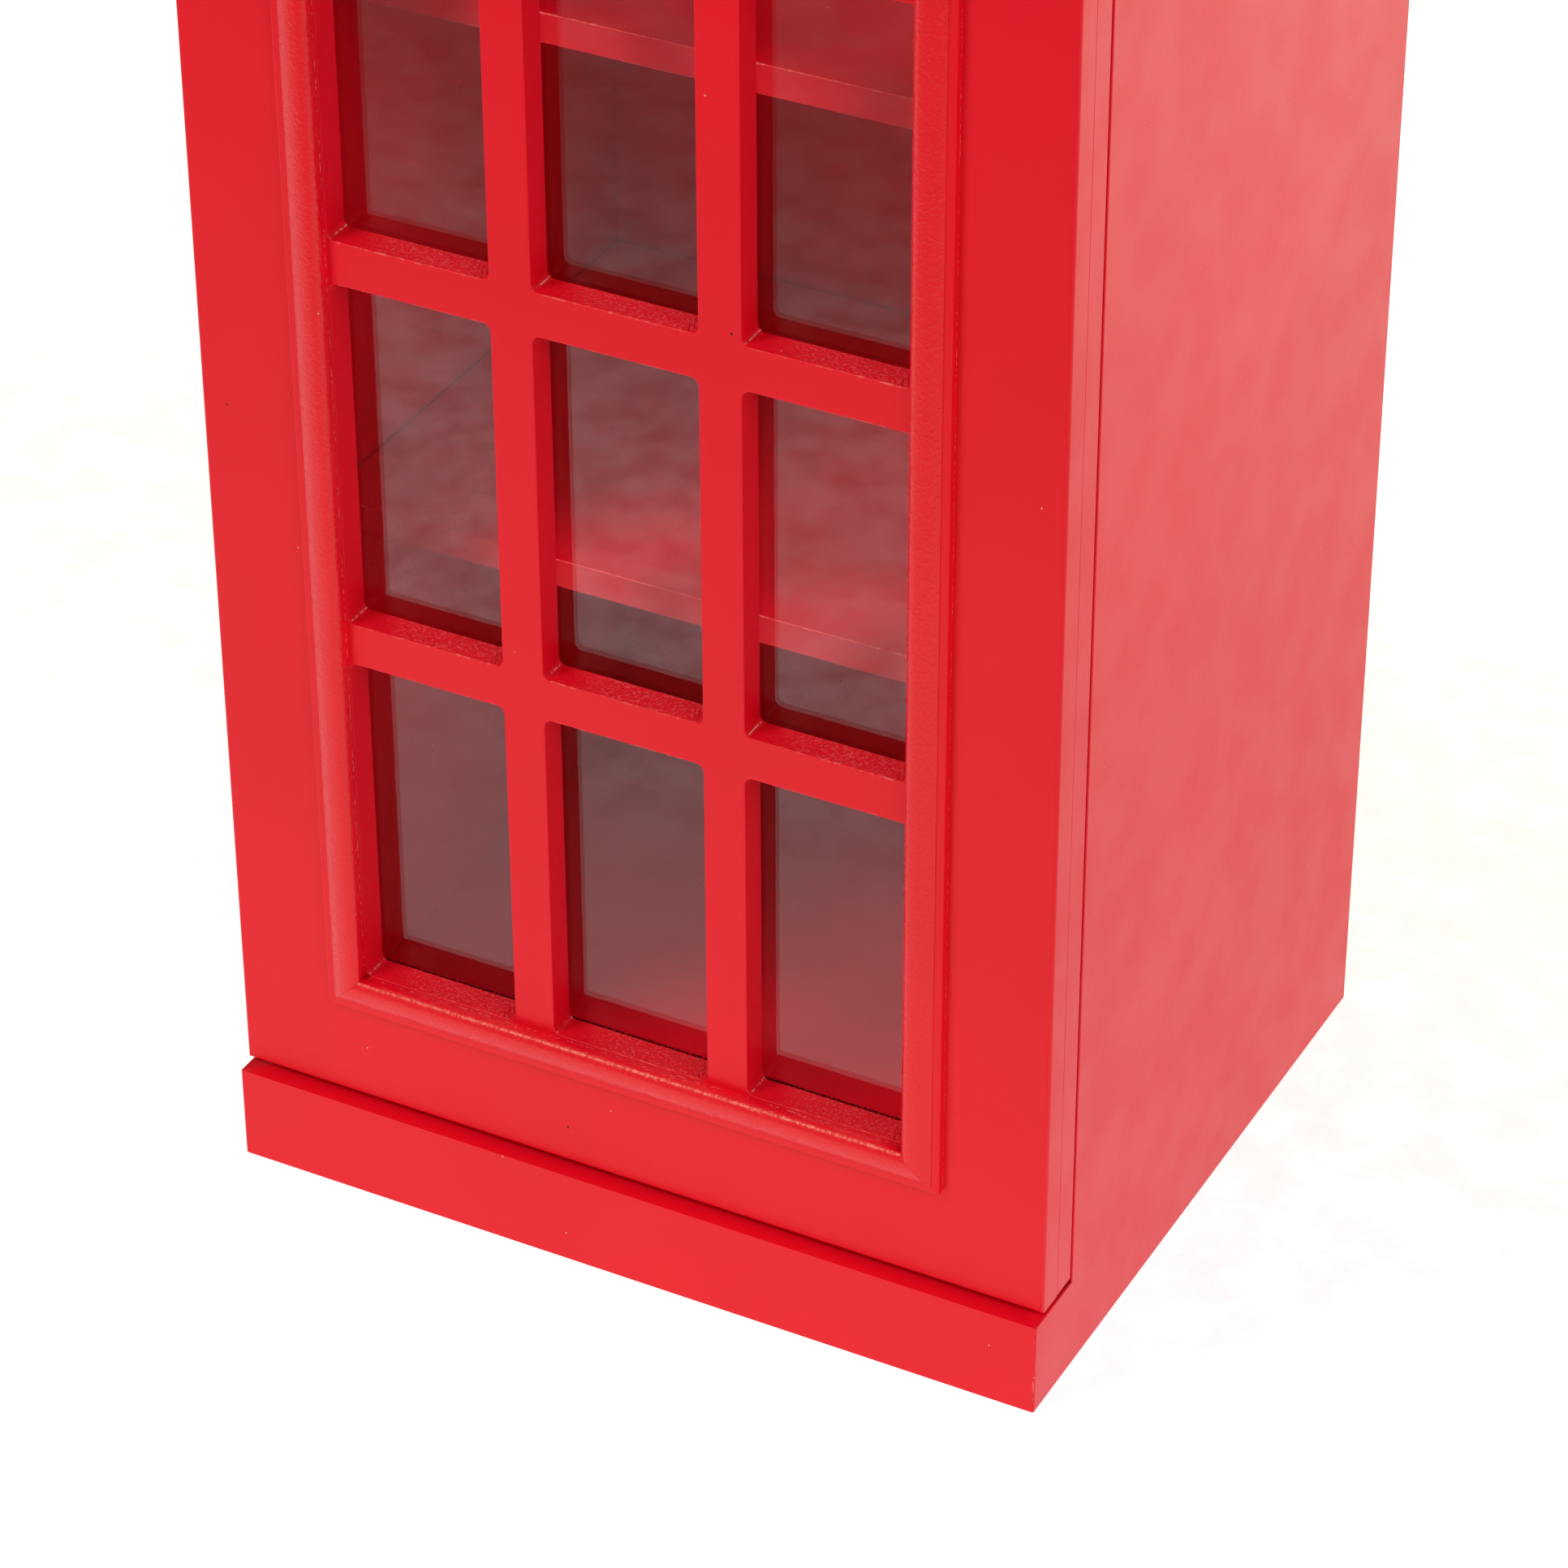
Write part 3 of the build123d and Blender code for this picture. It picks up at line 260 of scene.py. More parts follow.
def paint_ridge():
    """A fine dotted ridge of paint where a bead or board was masked or caulked."""
    n = Nodes("paint_ridge")
    colour, rough, normal = paint_base(n)
    dots = n.spread(n.noise(480.0, 2.0, 0.6), 0.50, 0.60)
    colour = n.mix(n.math("MULTIPLY", dots, 0.7), colour, RED_RIDGE)
    normal = n.bump(dots, 0.25 * MM, normal)
    return n.finish(Base_Color=colour, Roughness=rough, Normal=normal, **PAINT_SHEEN)


def paint_routed():
    """Cut edges of the board: the paint sinks in and dries rough, most of all towards the right."""
    n = Nodes("paint_routed")
    colour, _, normal = paint_base(n)
    x, y, _ = n.split_coords()
    from_left = n.math("ADD", x, FIELD_HALF)
    along = n.math("DIVIDE", n.math("FLOORED_MODULO", from_left, PANE_W + MUNTIN_W), PANE_W)
    rough_part = n.spread(along, 0.08, 0.45, 0.10, 1.0)
    fibres = n.noise(620.0, 3.0, 0.62)
    crumbs = n.math("MULTIPLY", n.spread(fibres, 0.52, 0.62), rough_part)
    slant = n.math("ADD", x, n.math("MULTIPLY", y, CUTTER_SLANT))
    strokes = n.math("SINE", n.math("MULTIPLY", slant, 2 * math.pi / CUTTER_STEP))
    strokes = n.math("MULTIPLY", n.spread(strokes, 0.1, 0.9), n.spread(along, 0.88, 0.93))
    colour = n.mix(n.math("MULTIPLY", crumbs, 0.45), colour, RED_CRUMB)
    normal = n.bump(n.math("MULTIPLY", fibres, rough_part), 0.9 * MM, normal)
    normal = n.bump(strokes, 0.6 * MM, normal)
    rough = n.spread(crumbs, 0.0, 1.0, 0.34, 0.50)
    return n.finish(Base_Color=colour, Roughness=rough, Normal=normal, **PAINT_SHEEN)


def paint_line():
    """The thin broken paint line in the lower corners of each opening."""
    n = Nodes("paint_line")
    colour, rough, normal = paint_base(n)
    dashes = n.spread(n.noise(330.0, 2.0, 0.6), 0.46, 0.54)
    colour = n.mix(n.math("MULTIPLY", dashes, 0.8), colour, RED_LINE)
    normal = n.bump(dashes, 0.2 * MM, normal)
    return n.finish(Base_Color=colour, Roughness=rough, Normal=normal, **PAINT_SHEEN)


def pane_glass():
    """Clean clear glass with a rare speck or faint scratch.  Lamps shine straight through it."""
    n = Nodes("pane_glass")
    specks = n.spots(45.0, 0.025, 0.05)
    hairs = n.noise(1.0, 1.0, vector=n.stretched((900, 900, 14)), distortion=0.4)
    scratched = n.spread(n.noise(6.0, 2.0), 0.55, 0.65)
    scratches = n.math("MULTIPLY", n.spread(hairs, 0.735, 0.75), scratched)
    marks = n.math("MAXIMUM", specks, n.math("MULTIPLY", scratches, 0.6))
    rough = n.spread(marks, 0.0, 1.0, 0.0, 0.25)
    tint = n.mix(marks, (1.0, 1.0, 1.0), (0.78, 0.78, 0.78))
    n.finish(Base_Color=tint, Roughness=rough, Transmission_Weight=1.0, IOR=1.37)
    path = n.add("ShaderNodeLightPath")
    clear = n.add("ShaderNodeBsdfTransparent")
    clear.inputs["Color"].default_value = (0.97, 0.97, 0.97, 1)
    blend = n.add("ShaderNodeMixShader")
    n.set(blend.inputs[0], path.outputs["Is Shadow Ray"])
    n.set(blend.inputs[1], n.shader.outputs[0])
    n.set(blend.inputs[2], clear.outputs[0])
    n.set(n.tree.nodes["Material Output"].inputs["Surface"], blend.outputs[0])
    return n.material


def opal_sign():
    """A milky white sheet, blank."""
    n = Nodes("opal_sign")
    cloud = n.spread(n.noise(20.0, 4.0), 0.3, 0.7)
    colour = n.mix(cloud, (0.84, 0.82, 0.75), (0.90, 0.885, 0.82))
    rough = n.spread(n.noise(60.0, 3.0), 0.3, 0.7, 0.16, 0.26)
    return n.finish(Base_Color=colour, Roughness=rough, Normal=n.bump(n.noise(35.0), 0.05 * MM))


def worn_metal(name, colour, dull, low, high, grain):
    """Metal with fine polishing lines along one way and dull patches."""
    n = Nodes(name)
    patches = n.spread(n.noise(90.0, 4.0, 0.6), 0.40, 0.70)
    lines = n.noise(1.0, 2.0, vector=n.stretched(grain))
    rough = n.math("ADD", n.spread(patches, 0, 1, low, high), n.math("MULTIPLY", lines, 0.08))
    tone = n.mix(patches, colour, dull)
    normal = n.bump(lines, 0.03 * MM)
    return n.finish(Base_Color=tone, Roughness=rough, Metallic=1.0, Normal=normal)


def moulded_plastic(name, colour, shade):
    """Plastic with a fine moulded grain."""
    n = Nodes(name)
    tone = n.mix(n.spread(n.noise(40.0, 3.0), 0.3, 0.7), colour, shade)
    grain = n.bump(n.noise(1800.0, 2.0), 0.05 * MM)
    rough = n.spread(n.noise(150.0), 0.3, 0.7, 0.42, 0.52)
    return n.finish(Base_Color=tone, Roughness=rough, Normal=grain)


def bare_wood():
    """Unpainted softwood with its grain along X."""
    n = Nodes("bare_wood")
    rings = n.noise(14.0, 3.0, vector=n.stretched((0.15, 1, 1)), distortion=0.6)
    pores = n.noise(420.0, 2.0, vector=n.stretched((0.06, 1, 1)))
    tone = n.mix(n.spread(rings, 0.35, 0.65), (0.62, 0.43, 0.25), (0.48, 0.30, 0.16))
    tone = n.mix(n.math("MULTIPLY", n.spread(pores, 0.6, 0.7), 0.5), tone, (0.26, 0.15, 0.08))
    rough = n.spread(rings, 0.3, 0.7, 0.6, 0.75)
    return n.finish(Base_Color=tone, Roughness=rough, Normal=n.bump(pores, 0.15 * MM))


FLOOR_GLOW = 0.88  # the floor's own light at the cabinet, so that it shows white


def glowing_floor_paper():
    """A white sweep that glows with painted light: faintly cloudy, brightest round the cabinet and most of
    all behind it, with painted shade that darkens its colour and glow towards the front.
    """
    n = Nodes("glowing_floor_paper")
    _, y, _ = n.split_coords()
    # painted light: the floor's glow and colour fall off towards the front, a painted shade there
    painted_falloff = n.spread(y, -1.30, -0.80, 0.28, 1.0)
    # painted glow, stronger behind the cabinet
    glow = n.spread(y, 0.30, 1.50, 1.0, 1.7)
    # faint cloudy patches in the painted glow, strongest in front of the cabinet
    patches = n.spread(n.noise(30.0, 5.0, 0.65), 0.25, 0.75, -1.0, 1.0)
    depth = n.spread(y, -0.65, -0.42, 0.45, 0.07)
    cloud = n.math("ADD", 1.0, n.math("MULTIPLY", patches, depth))
    # the floor's colour darker towards the front: painted shade
    tone = n.mix(painted_falloff, (0.12, 0.12, 0.12), (0.36, 0.36, 0.36))
    # the strength of the floor's painted glow
    power = n.math("MULTIPLY", n.math("MULTIPLY", painted_falloff, glow), n.math("MULTIPLY", cloud, FLOOR_GLOW))
    # the painted glow's colour, warmer behind the cabinet
    warm = n.mix(n.spread(y, -0.25, 0.45), (1.0, 0.975, 1.0), (1.0, 0.97, 0.88))
    grain = n.bump(n.noise(300.0), 0.1 * MM)
    return n.finish(
        Base_Color=tone, Roughness=0.6, Specular_IOR_Level=0.2, Normal=grain,
        Emission_Color=warm, Emission_Strength=power,
    )


PAINT_UPRIGHT = paint("paint_upright", (8, 8, 0.25))
PAINT_ACROSS = paint("paint_across", (0.25, 8, 8))
PAINT_BRUSHED = paint("paint_brushed", (1, 1, 0.06), brushed=True)
PAINT_EDGE = paint_edge()
PAINT_BEAD = paint_bead()
PAINT_RIDGE = paint_ridge()
PAINT_ROUTED = paint_routed()
PAINT_LINE = paint_line()
GLASS = pane_glass()
OPAL = opal_sign()
BRASS = worn_metal("worn_brass", (0.80, 0.58, 0.26), (0.55, 0.37, 0.16), 0.16, 0.34, (40, 40, 900))
STEEL = worn_metal("hinge_steel", (0.62, 0.62, 0.60), (0.45, 0.44, 0.42), 0.25, 0.42, (60, 60, 1400))
ZINC = worn_metal("zinc_plate", (0.66, 0.66, 0.64), (0.50, 0.50, 0.52), 0.28, 0.45, (500, 500, 500))
MAGNET = worn_metal("dark_magnet", (0.10, 0.10, 0.11), (0.05, 0.05, 0.05), 0.45, 0.60, (300, 300, 300))
CATCH = moulded_plastic("catch_plastic", (0.80, 0.79, 0.75), (0.74, 0.73, 0.68))
WOOD = bare_wood()


PAINT_FOR = {"bottom": PAINT_ACROSS, "top": PAINT_ACROSS, "left": PAINT_UPRIGHT, "right": PAINT_UPRIGHT}


# ---------------------------------------------------------------- mesh helpers
SHARP_TO_EASE, SHARP_TO_SHADE, FLAT_WITHIN = (math.radians(a) for a in (40, 50, 0.5))


def show(name, mesh, materials, body, nodes):
    """Puts a finished mesh into the scene as a piece that stands for frame nodes."""
    piece = bpy.data.objects.new(name, mesh)
    bpy.context.scene.collection.objects.link(piece)
    for material in materials:
        mesh.materials.append(material)
    for face in mesh.polygons:
        face.use_smooth = True
    mesh.set_sharp_from_angle(angle=SHARP_TO_SHADE)
    weighted = piece.modifiers.new("weighted", "WEIGHTED_NORMAL")
    weighted.mode = "FACE_AREA"
    weighted.weight = 100
    weighted.keep_sharp = True
    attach(piece, body)
    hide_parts(*nodes)


def from_bmesh(bm, name):
    """Turns a bmesh into a mesh with its faces outwards."""
    bmesh.ops.recalc_face_normals(bm, faces=bm.faces)
    mesh = bpy.data.meshes.new(name)
    bm.to_mesh(mesh)
    bm.free()
    return mesh


def ease_edges(bm, width, segments=3, shortest=4 * MM, keep=None):
    """Rounds the long outward edges and marks the new faces with material 1."""
    chosen = []
    for edge in bm.edges:
        if len(edge.link_faces) != 2 or edge.calc_length() < shortest or not edge.is_convex:
            continue
        if edge.calc_face_angle() < SHARP_TO_EASE or (keep and keep(edge)):
            continue
        chosen.append(edge)
    bmesh.ops.bevel(
        bm, geom=chosen, offset=width, offset_type="OFFSET", segments=segments, profile=0.5,
        affect="EDGES", clamp_overlap=True, material=1,
    )


def cad_bmesh(node):
    """A frame node's mesh with welded corners and one face for each flat side."""
    bm = bmesh.new()
    bm.from_mesh(NODES[node].data)
    bmesh.ops.remove_doubles(bm, verts=bm.verts, dist=0.005 * MM)
    bmesh.ops.dissolve_limit(bm, angle_limit=FLAT_WITHIN, verts=bm.verts, edges=bm.edges)
    for face in bm.faces:
        face.material_index = 0
    return bm


def shave(bm, point, normal):
    """Cuts off what lies beyond a plane and closes the cut."""
    geometry = bm.verts[:] + bm.edges[:] + bm.faces[:]
    cut = bmesh.ops.bisect_plane(
        bm, geom=geometry, plane_co=point, plane_no=normal, clear_outer=True, dist=0.001 * MM
    )
    loops = [g for g in cut["geom_cut"] if isinstance(g, bmesh.types.BMEdge)]
    closed = bmesh.ops.edgeloop_fill(bm, edges=loops)
    for face in closed["faces"]:
        face.material_index = 1


def round_front_corner(bm, side, radius):
    """Rounds the upright front corner that two mitred boards share."""
    centre = Vector((side * (HALF - radius), FRONT + radius, 0))
    for degrees in (22.5, 45.0, 67.5):
        turn = math.radians(degrees)
        out = Vector((side * math.cos(turn), -math.sin(turn), 0))
        shave(bm, centre + out * radius, out)


def on_mitre(edge):
    """True for an edge in a mitre plane at the cabinet's front corners."""
    return all(
        abs((HALF - abs(v.co.x)) - (v.co.y - FRONT)) < 0.05 * MM and v.co.y < FRONT + BOARD + 0.1 * MM
        for v in edge.verts
    )


def board_piece(node, body, material, width=BOARD_EASE, corners=(), edges=None):
    """A painted board from its frame node.  corners are the sides, -1 or 1, with a rounded front corner."""
    bm = cad_bmesh(node)
    ease_edges(bm, width, keep=on_mitre)
    for side in corners:
        round_front_corner(bm, side, CORNER_ROUND)
    mesh = from_bmesh(bm, node + "_painted")
    show(node + "_painted", mesh, [material, edges or material], body, [node])


# ---------------------------------------------------------------- the routed door panel
def rounded_loop(centre, half_w, half_h, radius, steps):
    """Points of a rounded rectangle in x and z, from the lower right corner anticlockwise."""
    cx, cz = centre
    points = []
    corners = ((1, -1, -90), (1, 1, 0), (-1, 1, 90), (-1, -1, 180))
    for sx, sz, start in corners:
        for i in range(steps + 1):
            turn = math.radians(start + 90 * i / steps)
            points.append((
                cx + sx * (half_w - radius) + radius * math.cos(turn),
                cz + sz * (half_h - radius) + radius * math.sin(turn),
            ))
    return points


def muntin_centres(start, pane, muntin, count):
    """Places of the muntins' centre lines between count panes."""
    return [start + (i + 1) * pane + (i + 0.5) * muntin for i in range(count - 1)]


def door_panel():
    """The routed panel: a grid of cells, one round each opening, and an eased outline.

    Material numbers at an opening: 1 its top and bottom eases, 2 its top and bottom cuts, 3 a facet
    in its lower left corner.  All other faces have 0.
    """
    bm = bmesh.new()
    ease, outer_ease, arc = BOARD_EASE, DOOR_EDGE_ROUND, 8
    z_low, z_high = panel_low[2], panel_high[2]
    xs = [-HALF] + muntin_centres(-FIELD_HALF, PANE_W, MUNTIN_W, COLUMNS) + [HALF]
    zs = [z_low] + muntin_centres(FIELD_LOW, PANE_H, MUNTIN_H, ROWS) + [z_high]
    turns = [math.radians(a) for a in (0, 22.5, 45, 67.5, 90)]
    rim = {}

    def corner(i, j, y, inset):
        """A grid vertex of a flat face, pulled in from the panel's outline by inset."""
        key = (i, j, round(y / MM, 3), round(inset / MM, 3))
        if key not in rim:
            x = min(max(xs[i], -HALF + inset), HALF - inset)
            z = min(max(zs[j], z_low + inset), z_high - inset)
            rim[key] = bm.verts.new((x, y, z))
        return rim[key]

    def ring(centre, grow, y):
        """An opening's outline, grown by grow, at a depth."""
        points = rounded_loop(
            centre, PANE_W / 2 + grow, PANE_H / 2 + grow, ROUTER_RADIUS + grow, arc
        )
        return [bm.verts.new((x, y, z)) for x, z in points]

    def cell_faces(i, j, loop, y, inset):
        """Four flat faces between an opening's outline and its cell of the grid."""
        half = arc // 2
        per_side = arc + 1
        grid = [corner(i + 1, j, y, inset), corner(i + 1, j + 1, y, inset),
                corner(i, j + 1, y, inset), corner(i, j, y, inset)]
        for k in range(4):
            first = k * per_side + half
            count = per_side + 1
            run = [loop[(first + s) % len(loop)] for s in range(count)]
            bm.faces.new([grid[k]] + [grid[(k + 1) % 4]] + run[::-1])

    for i in range(COLUMNS):
        for j in range(ROWS):
            centre = (
                -FIELD_HALF + PANE_W / 2 + i * (PANE_W + MUNTIN_W),
                FIELD_LOW + PANE_H / 2 + j * (PANE_H + MUNTIN_H),
            )
            rings = [
                ring(centre, ease * (1 - math.sin(t)), DOOR_FRONT + ease * (1 - math.cos(t))) for t in turns
            ]
            rings.append(ring(centre, 0, GLASS_FRONT))
            cell_faces(i, j, rings[0], DOOR_FRONT, outer_ease)
            cell_faces(i, j, rings[-1], GLASS_FRONT, 0)
            for number, (a, b) in enumerate(zip(rings, rings[1:])):
                for s in range(len(a)):
                    t = (s + 1) % len(a)
                    face = bm.faces.new((a[s], a[t], b[t], b[s]))
                    wall = number == len(rings) - 2
                    side, step = divmod(s, arc + 1)
                    if wall and (side, step) == (3, arc // 2):
                        face.material_index = 3
                    elif wall and side in (1, 3) and step == arc:
                        face.material_index = 2
                    elif not wall and side in (1, 3) and step == arc:
                        face.material_index = 1

    def outline(y, inset):
        """The grid vertices round the panel's outline, anticlockwise from the lower right."""
        right = [corner(COLUMNS, j, y, inset) for j in range(ROWS + 1)]
        top = [corner(i, ROWS, y, inset) for i in range(COLUMNS - 1, -1, -1)]
        left = [corner(0, j, y, inset) for j in range(ROWS - 1, -1, -1)]
        bottom = [corner(i, 0, y, inset) for i in range(1, COLUMNS)]
        return right + top + left + bottom

    loops = [
        outline(DOOR_FRONT + outer_ease * (1 - math.cos(t)), outer_ease * (1 - math.sin(t))) for t in turns
    ]
    loops.append(outline(GLASS_FRONT, 0))
    for a, b in zip(loops, loops[1:]):
        for s in range(len(a)):
            t = (s + 1) % len(a)
            bm.faces.new((a[s], b[s], b[t], a[t]))
    mesh = from_bmesh(bm, "door_panel_routed")
    show("door_panel_routed", mesh, [PAINT_UPRIGHT, PAINT_EDGE, PAINT_ROUTED, PAINT_LINE],
         "door", ["door_panel"])


# ---------------------------------------------------------------- mouldings
def arc_points(start, middle, end, steps):
    """Points along the circle through three points, both ends included."""
    (ax, ay), (bx, by), (cx, cy) = start, middle, end
    d = 2 * (ax * (by - cy) + bx * (cy - ay) + cx * (ay - by))
    ux = ((ax**2 + ay**2) * (by - cy) + (bx**2 + by**2) * (cy - ay) + (cx**2 + cy**2) * (ay - by)) / d
    uy = ((ax**2 + ay**2) * (cx - bx) + (bx**2 + by**2) * (ax - cx) + (cx**2 + cy**2) * (bx - ax)) / d
    radius = math.hypot(ax - ux, ay - uy)
    first, last = math.atan2(ay - uy, ax - ux), math.atan2(cy - uy, cx - ux)
    through = math.atan2(by - uy, bx - ux)
    span = (last - first) % (2 * math.pi)
    if (through - first) % (2 * math.pi) > span:
        span -= 2 * math.pi
    return [
        (ux + radius * math.cos(first + span * i / steps), uy + radius * math.sin(first + span * i / steps))
        for i in range(steps + 1)
    ]


def moulding(start, end, outward, up, outline, ends=("mitre", "mitre"), parts=24, material_of=None):
    """A closed moulding along start-end, as bmesh.  outline is a list of (outward, up) points."""
    start, end, outward, up = Vector(start), Vector(end), Vector(outward), Vector(up)
    run = (end - start).normalized()
    length = (end - start).length
    bm = bmesh.new()
    rings = []
    for k in range(parts + 1):
        ring = []
        for out, height in outline:
            low = -out + HAIRLINE if ends[0] == "mitre" else 0.0
            high = length + out - HAIRLINE if ends[1] == "mitre" else length
            place = start + run * (low + (high - low) * k / parts) + outward * out + up * height
            ring.append(bm.verts.new(place))
        rings.append(ring)
    for a, b in zip(rings, rings[1:]):
        for s in range(len(outline)):
            t = (s + 1) % len(outline)
            face = bm.faces.new((a[s], a[t], b[t], b[s]))
            face.material_index = material_of(s) if material_of else 0
    bm.faces.new(rings[0])
    bm.faces.new(rings[-1][::-1])
    return bm


def frame_sides(half_width, low, high, y):
    """Inner edges of an upright frame: name, start, end and the way out of the opening."""
    return (
        ("bottom", (-half_width, y, low), (half_width, y, low), (0, 0, -1)),
        ("right", (half_width, y, low), (half_width, y, high), (1, 0, 0)),
        ("top", (half_width, y, high), (-half_width, y, high), (0, 0, 1)),
        ("left", (-half_width, y, high), (-half_width, y, low), (-1, 0, 0)),
    )


def bead_outline():
    """A bead's outline and which runs of it are the round, the dotted ridge and the outer edge."""
    crown, edge = BEAD_TOP, BEAD_W - BEAD_FILLET_W
    shoulder = BEAD_SHOULDER
    low = BEAD_FILLET_H + BEAD_QUIRK
    fall, run = crown - low, edge - shoulder
    radius = (run**2 + fall**2) / (2 * fall)
    half_turn = math.asin(run / radius) / 2
    diagonal = shoulder * (1 - 0.5**0.5)
    rise = arc_points((0, crown - shoulder), (diagonal, crown - diagonal), (shoulder, crown), 10)
    slope = arc_points(
        (shoulder, crown),
        (shoulder + radius * math.sin(half_turn), crown - radius * (1 - math.cos(half_turn))),
        (edge, low), 12,
    )
    ridge_low, ridge_high = 1.7 * MM, 2.3 * MM
    foot = [(0, 0), (0, ridge_low), (0, ridge_high)]
    soft, lip, chamfer, sole = 0.2 * MM, 0.8 * MM, 0.25 * MM, 0.5 * MM
    tail = [
        (edge, low - soft), (edge, BEAD_FILLET_H + soft), (edge + soft, BEAD_FILLET_H),
        (BEAD_W - lip, BEAD_FILLET_H), (BEAD_W - chamfer, BEAD_FILLET_H - chamfer),
        (BEAD_W, BEAD_FILLET_H - lip), (BEAD_W, sole), (BEAD_W, 0),
    ]
    outline = foot + rise + slope[1:] + tail
    kinds = {1: 2}
    for s in range(3, 3 + len(rise) + len(slope) - 2):
        kinds[s] = 1
    kinds[len(outline) - 2] = 2
    return outline, kinds


def door_beads():
    """Beads mitred round the pane field: a quarter round, a falling face and a flat outer strip."""
    outline, kinds = bead_outline()
    for place, start, end, outward in frame_sides(FIELD_HALF, FIELD_LOW, FIELD_HIGH, DOOR_FRONT):
        bm = moulding(
            start, end, outward, (0, -1, 0), outline, material_of=lambda s: kinds.get(s, 0),
        )
        node = f"door_bead_{place}"
        mesh = from_bmesh(bm, node + "_painted")
        finishes = [PAINT_FOR[place], PAINT_BEAD, PAINT_RIDGE]
        show(node + "_painted", mesh, finishes, "door", [node])


def crown_mouldings():
    """Crown moulding: a square step, a cove and a lip with a rounded upper edge."""
    step_out, nose = CROWN_INSIDE + CROWN_STEP_OUT, CROWN_INSIDE + CROWN_OVERHANG
    lip, step_up, cove_top, soft = nose - CROWN_LIP, CROWN_STEP_UP, CROWN_COVE_TOP, CROWN_ROUND
    cove_middle = (
        (step_out + lip) / 2 - CROWN_BULGE * (cove_top - step_up) / 2,
        (step_up + cove_top) / 2 + CROWN_BULGE * (lip - step_out) / 2,
    )
    cove = arc_points((step_out, step_up), cove_middle, (lip, cove_top), 12)
    top = arc_points(
        (nose, CROWN_H - soft), (nose - soft * (1 - 0.5**0.5), CROWN_H - soft * (1 - 0.5**0.5)),
        (nose - soft, CROWN_H), 6,
    )
    ease = LIP_EASE
    outline = [(0, 0), (step_out - ease, 0), (step_out, ease)] + cove
    outline += [(nose - ease, cove_top), (nose, cove_top + ease)] + top + [(0, CROWN_H)]
    ring_x, ring_front, z = HALF - CROWN_INSIDE, FRONT + CROWN_INSIDE, crown_low[2]
    runs = (
        ("front", (ring_x, ring_front, z), (-ring_x, ring_front, z), (0, -1, 0), ("mitre", "mitre")),
        ("left", (-ring_x, ring_front, z), (-ring_x, BACK, z), (-1, 0, 0), ("mitre", "square")),
        ("right", (ring_x, ring_front, z), (ring_x, BACK, z), (1, 0, 0), ("mitre", "square")),
    )
    for place, start, end, outward, ends in runs:
        node = f"crown_{place}"
        mesh = from_bmesh(moulding(start, end, outward, (0, 0, 1), outline, ends), node + "_painted")
        show(node + "_painted", mesh, [PAINT_ACROSS, PAINT_EDGE], "cabinet", [node])


# ---------------------------------------------------------------- arched head
PED_HALF_X = HALF - PEDIMENT_INSET
PED_HALF_Y = (BACK - FRONT) / 2 - PEDIMENT_INSET
ARC_RADIUS = (PED_HALF_X**2 + PEDIMENT_RISE**2) / (2 * PEDIMENT_RISE)
CROWN_TOP = crown_high[2]


def arc_height(distance, half):
    """Height of an arched board above the crown, at a distance from its middle."""
    return PEDIMENT_END + math.sqrt(ARC_RADIUS**2 - distance**2) - math.sqrt(ARC_RADIUS**2 - half**2)


def plate(node, outline, origin, along, thickness, outward, width=BOARD_EASE):
    """A flat plate from (along, up) points.  It grows inward, or outward if thickness is negative."""
    origin, along, outward = Vector(origin), Vector(along), Vector(outward)
    bm = bmesh.new()
    front = [bm.verts.new(origin + along * a + Vector((0, 0, z))) for a, z in outline]
    back = [bm.verts.new(v.co - outward * thickness) for v in front]
    bm.faces.new(front)
    bm.faces.new(back[::-1])
    for s in range(len(front)):
        t = (s + 1) % len(front)
        bm.faces.new((front[s], front[t], back[t], back[s]))
    bmesh.ops.recalc_face_normals(bm, faces=bm.faces)
    ease_edges(bm, width, shortest=1 * MM)
    mesh = from_bmesh(bm, node + "_painted")
    show(node + "_painted", mesh, [PAINT_ACROSS, PAINT_EDGE], "cabinet", [node])


def pediments():
    """Four arched boards and the raised trim on three of them."""
    steps = 48
    short = PED_HALF_Y - BOARD
    sides = (
        ("front", (0, MIDDLE_Y - PED_HALF_Y), (1, 0, 0), (0, -1, 0), PED_HALF_X, PED_HALF_X, PED_HALF_X),
        ("back", (0, MIDDLE_Y + PED_HALF_Y), (-1, 0, 0), (0, 1, 0), PED_HALF_X, PED_HALF_X, None),
        ("right", (PED_HALF_X, MIDDLE_Y), (0, 1, 0), (1, 0, 0), short, PED_HALF_Y, PED_HALF_Y),
        ("left", (-PED_HALF_X, MIDDLE_Y), (0, -1, 0), (-1, 0, 0), short, PED_HALF_Y, PED_HALF_Y),
    )
    for place, (x, y), along, outward, half_board, half_side, half_trim in sides:
        origin = (x, y, CROWN_TOP)
        arch = [half_board * (1 - 2 * i / steps) for i in range(steps + 1)]
        outline = [(-half_board, 0), (half_board, 0)] + [(a, arc_height(a, half_side)) for a in arch]
        plate(f"pediment_{place}", outline, origin, along, BOARD, outward)
        if half_trim:
            arch = [half_trim * (1 - 2 * i / steps) for i in range(steps + 1)]
            upper = [(a, arc_height(a, half_side)) for a in arch]
            lower = [(a, z - TRIM_W) for a, z in reversed(upper)]
            plate(f"pediment_trim_{place}", upper + lower, origin, along, -TRIM_D, outward, TRIM_EASE)


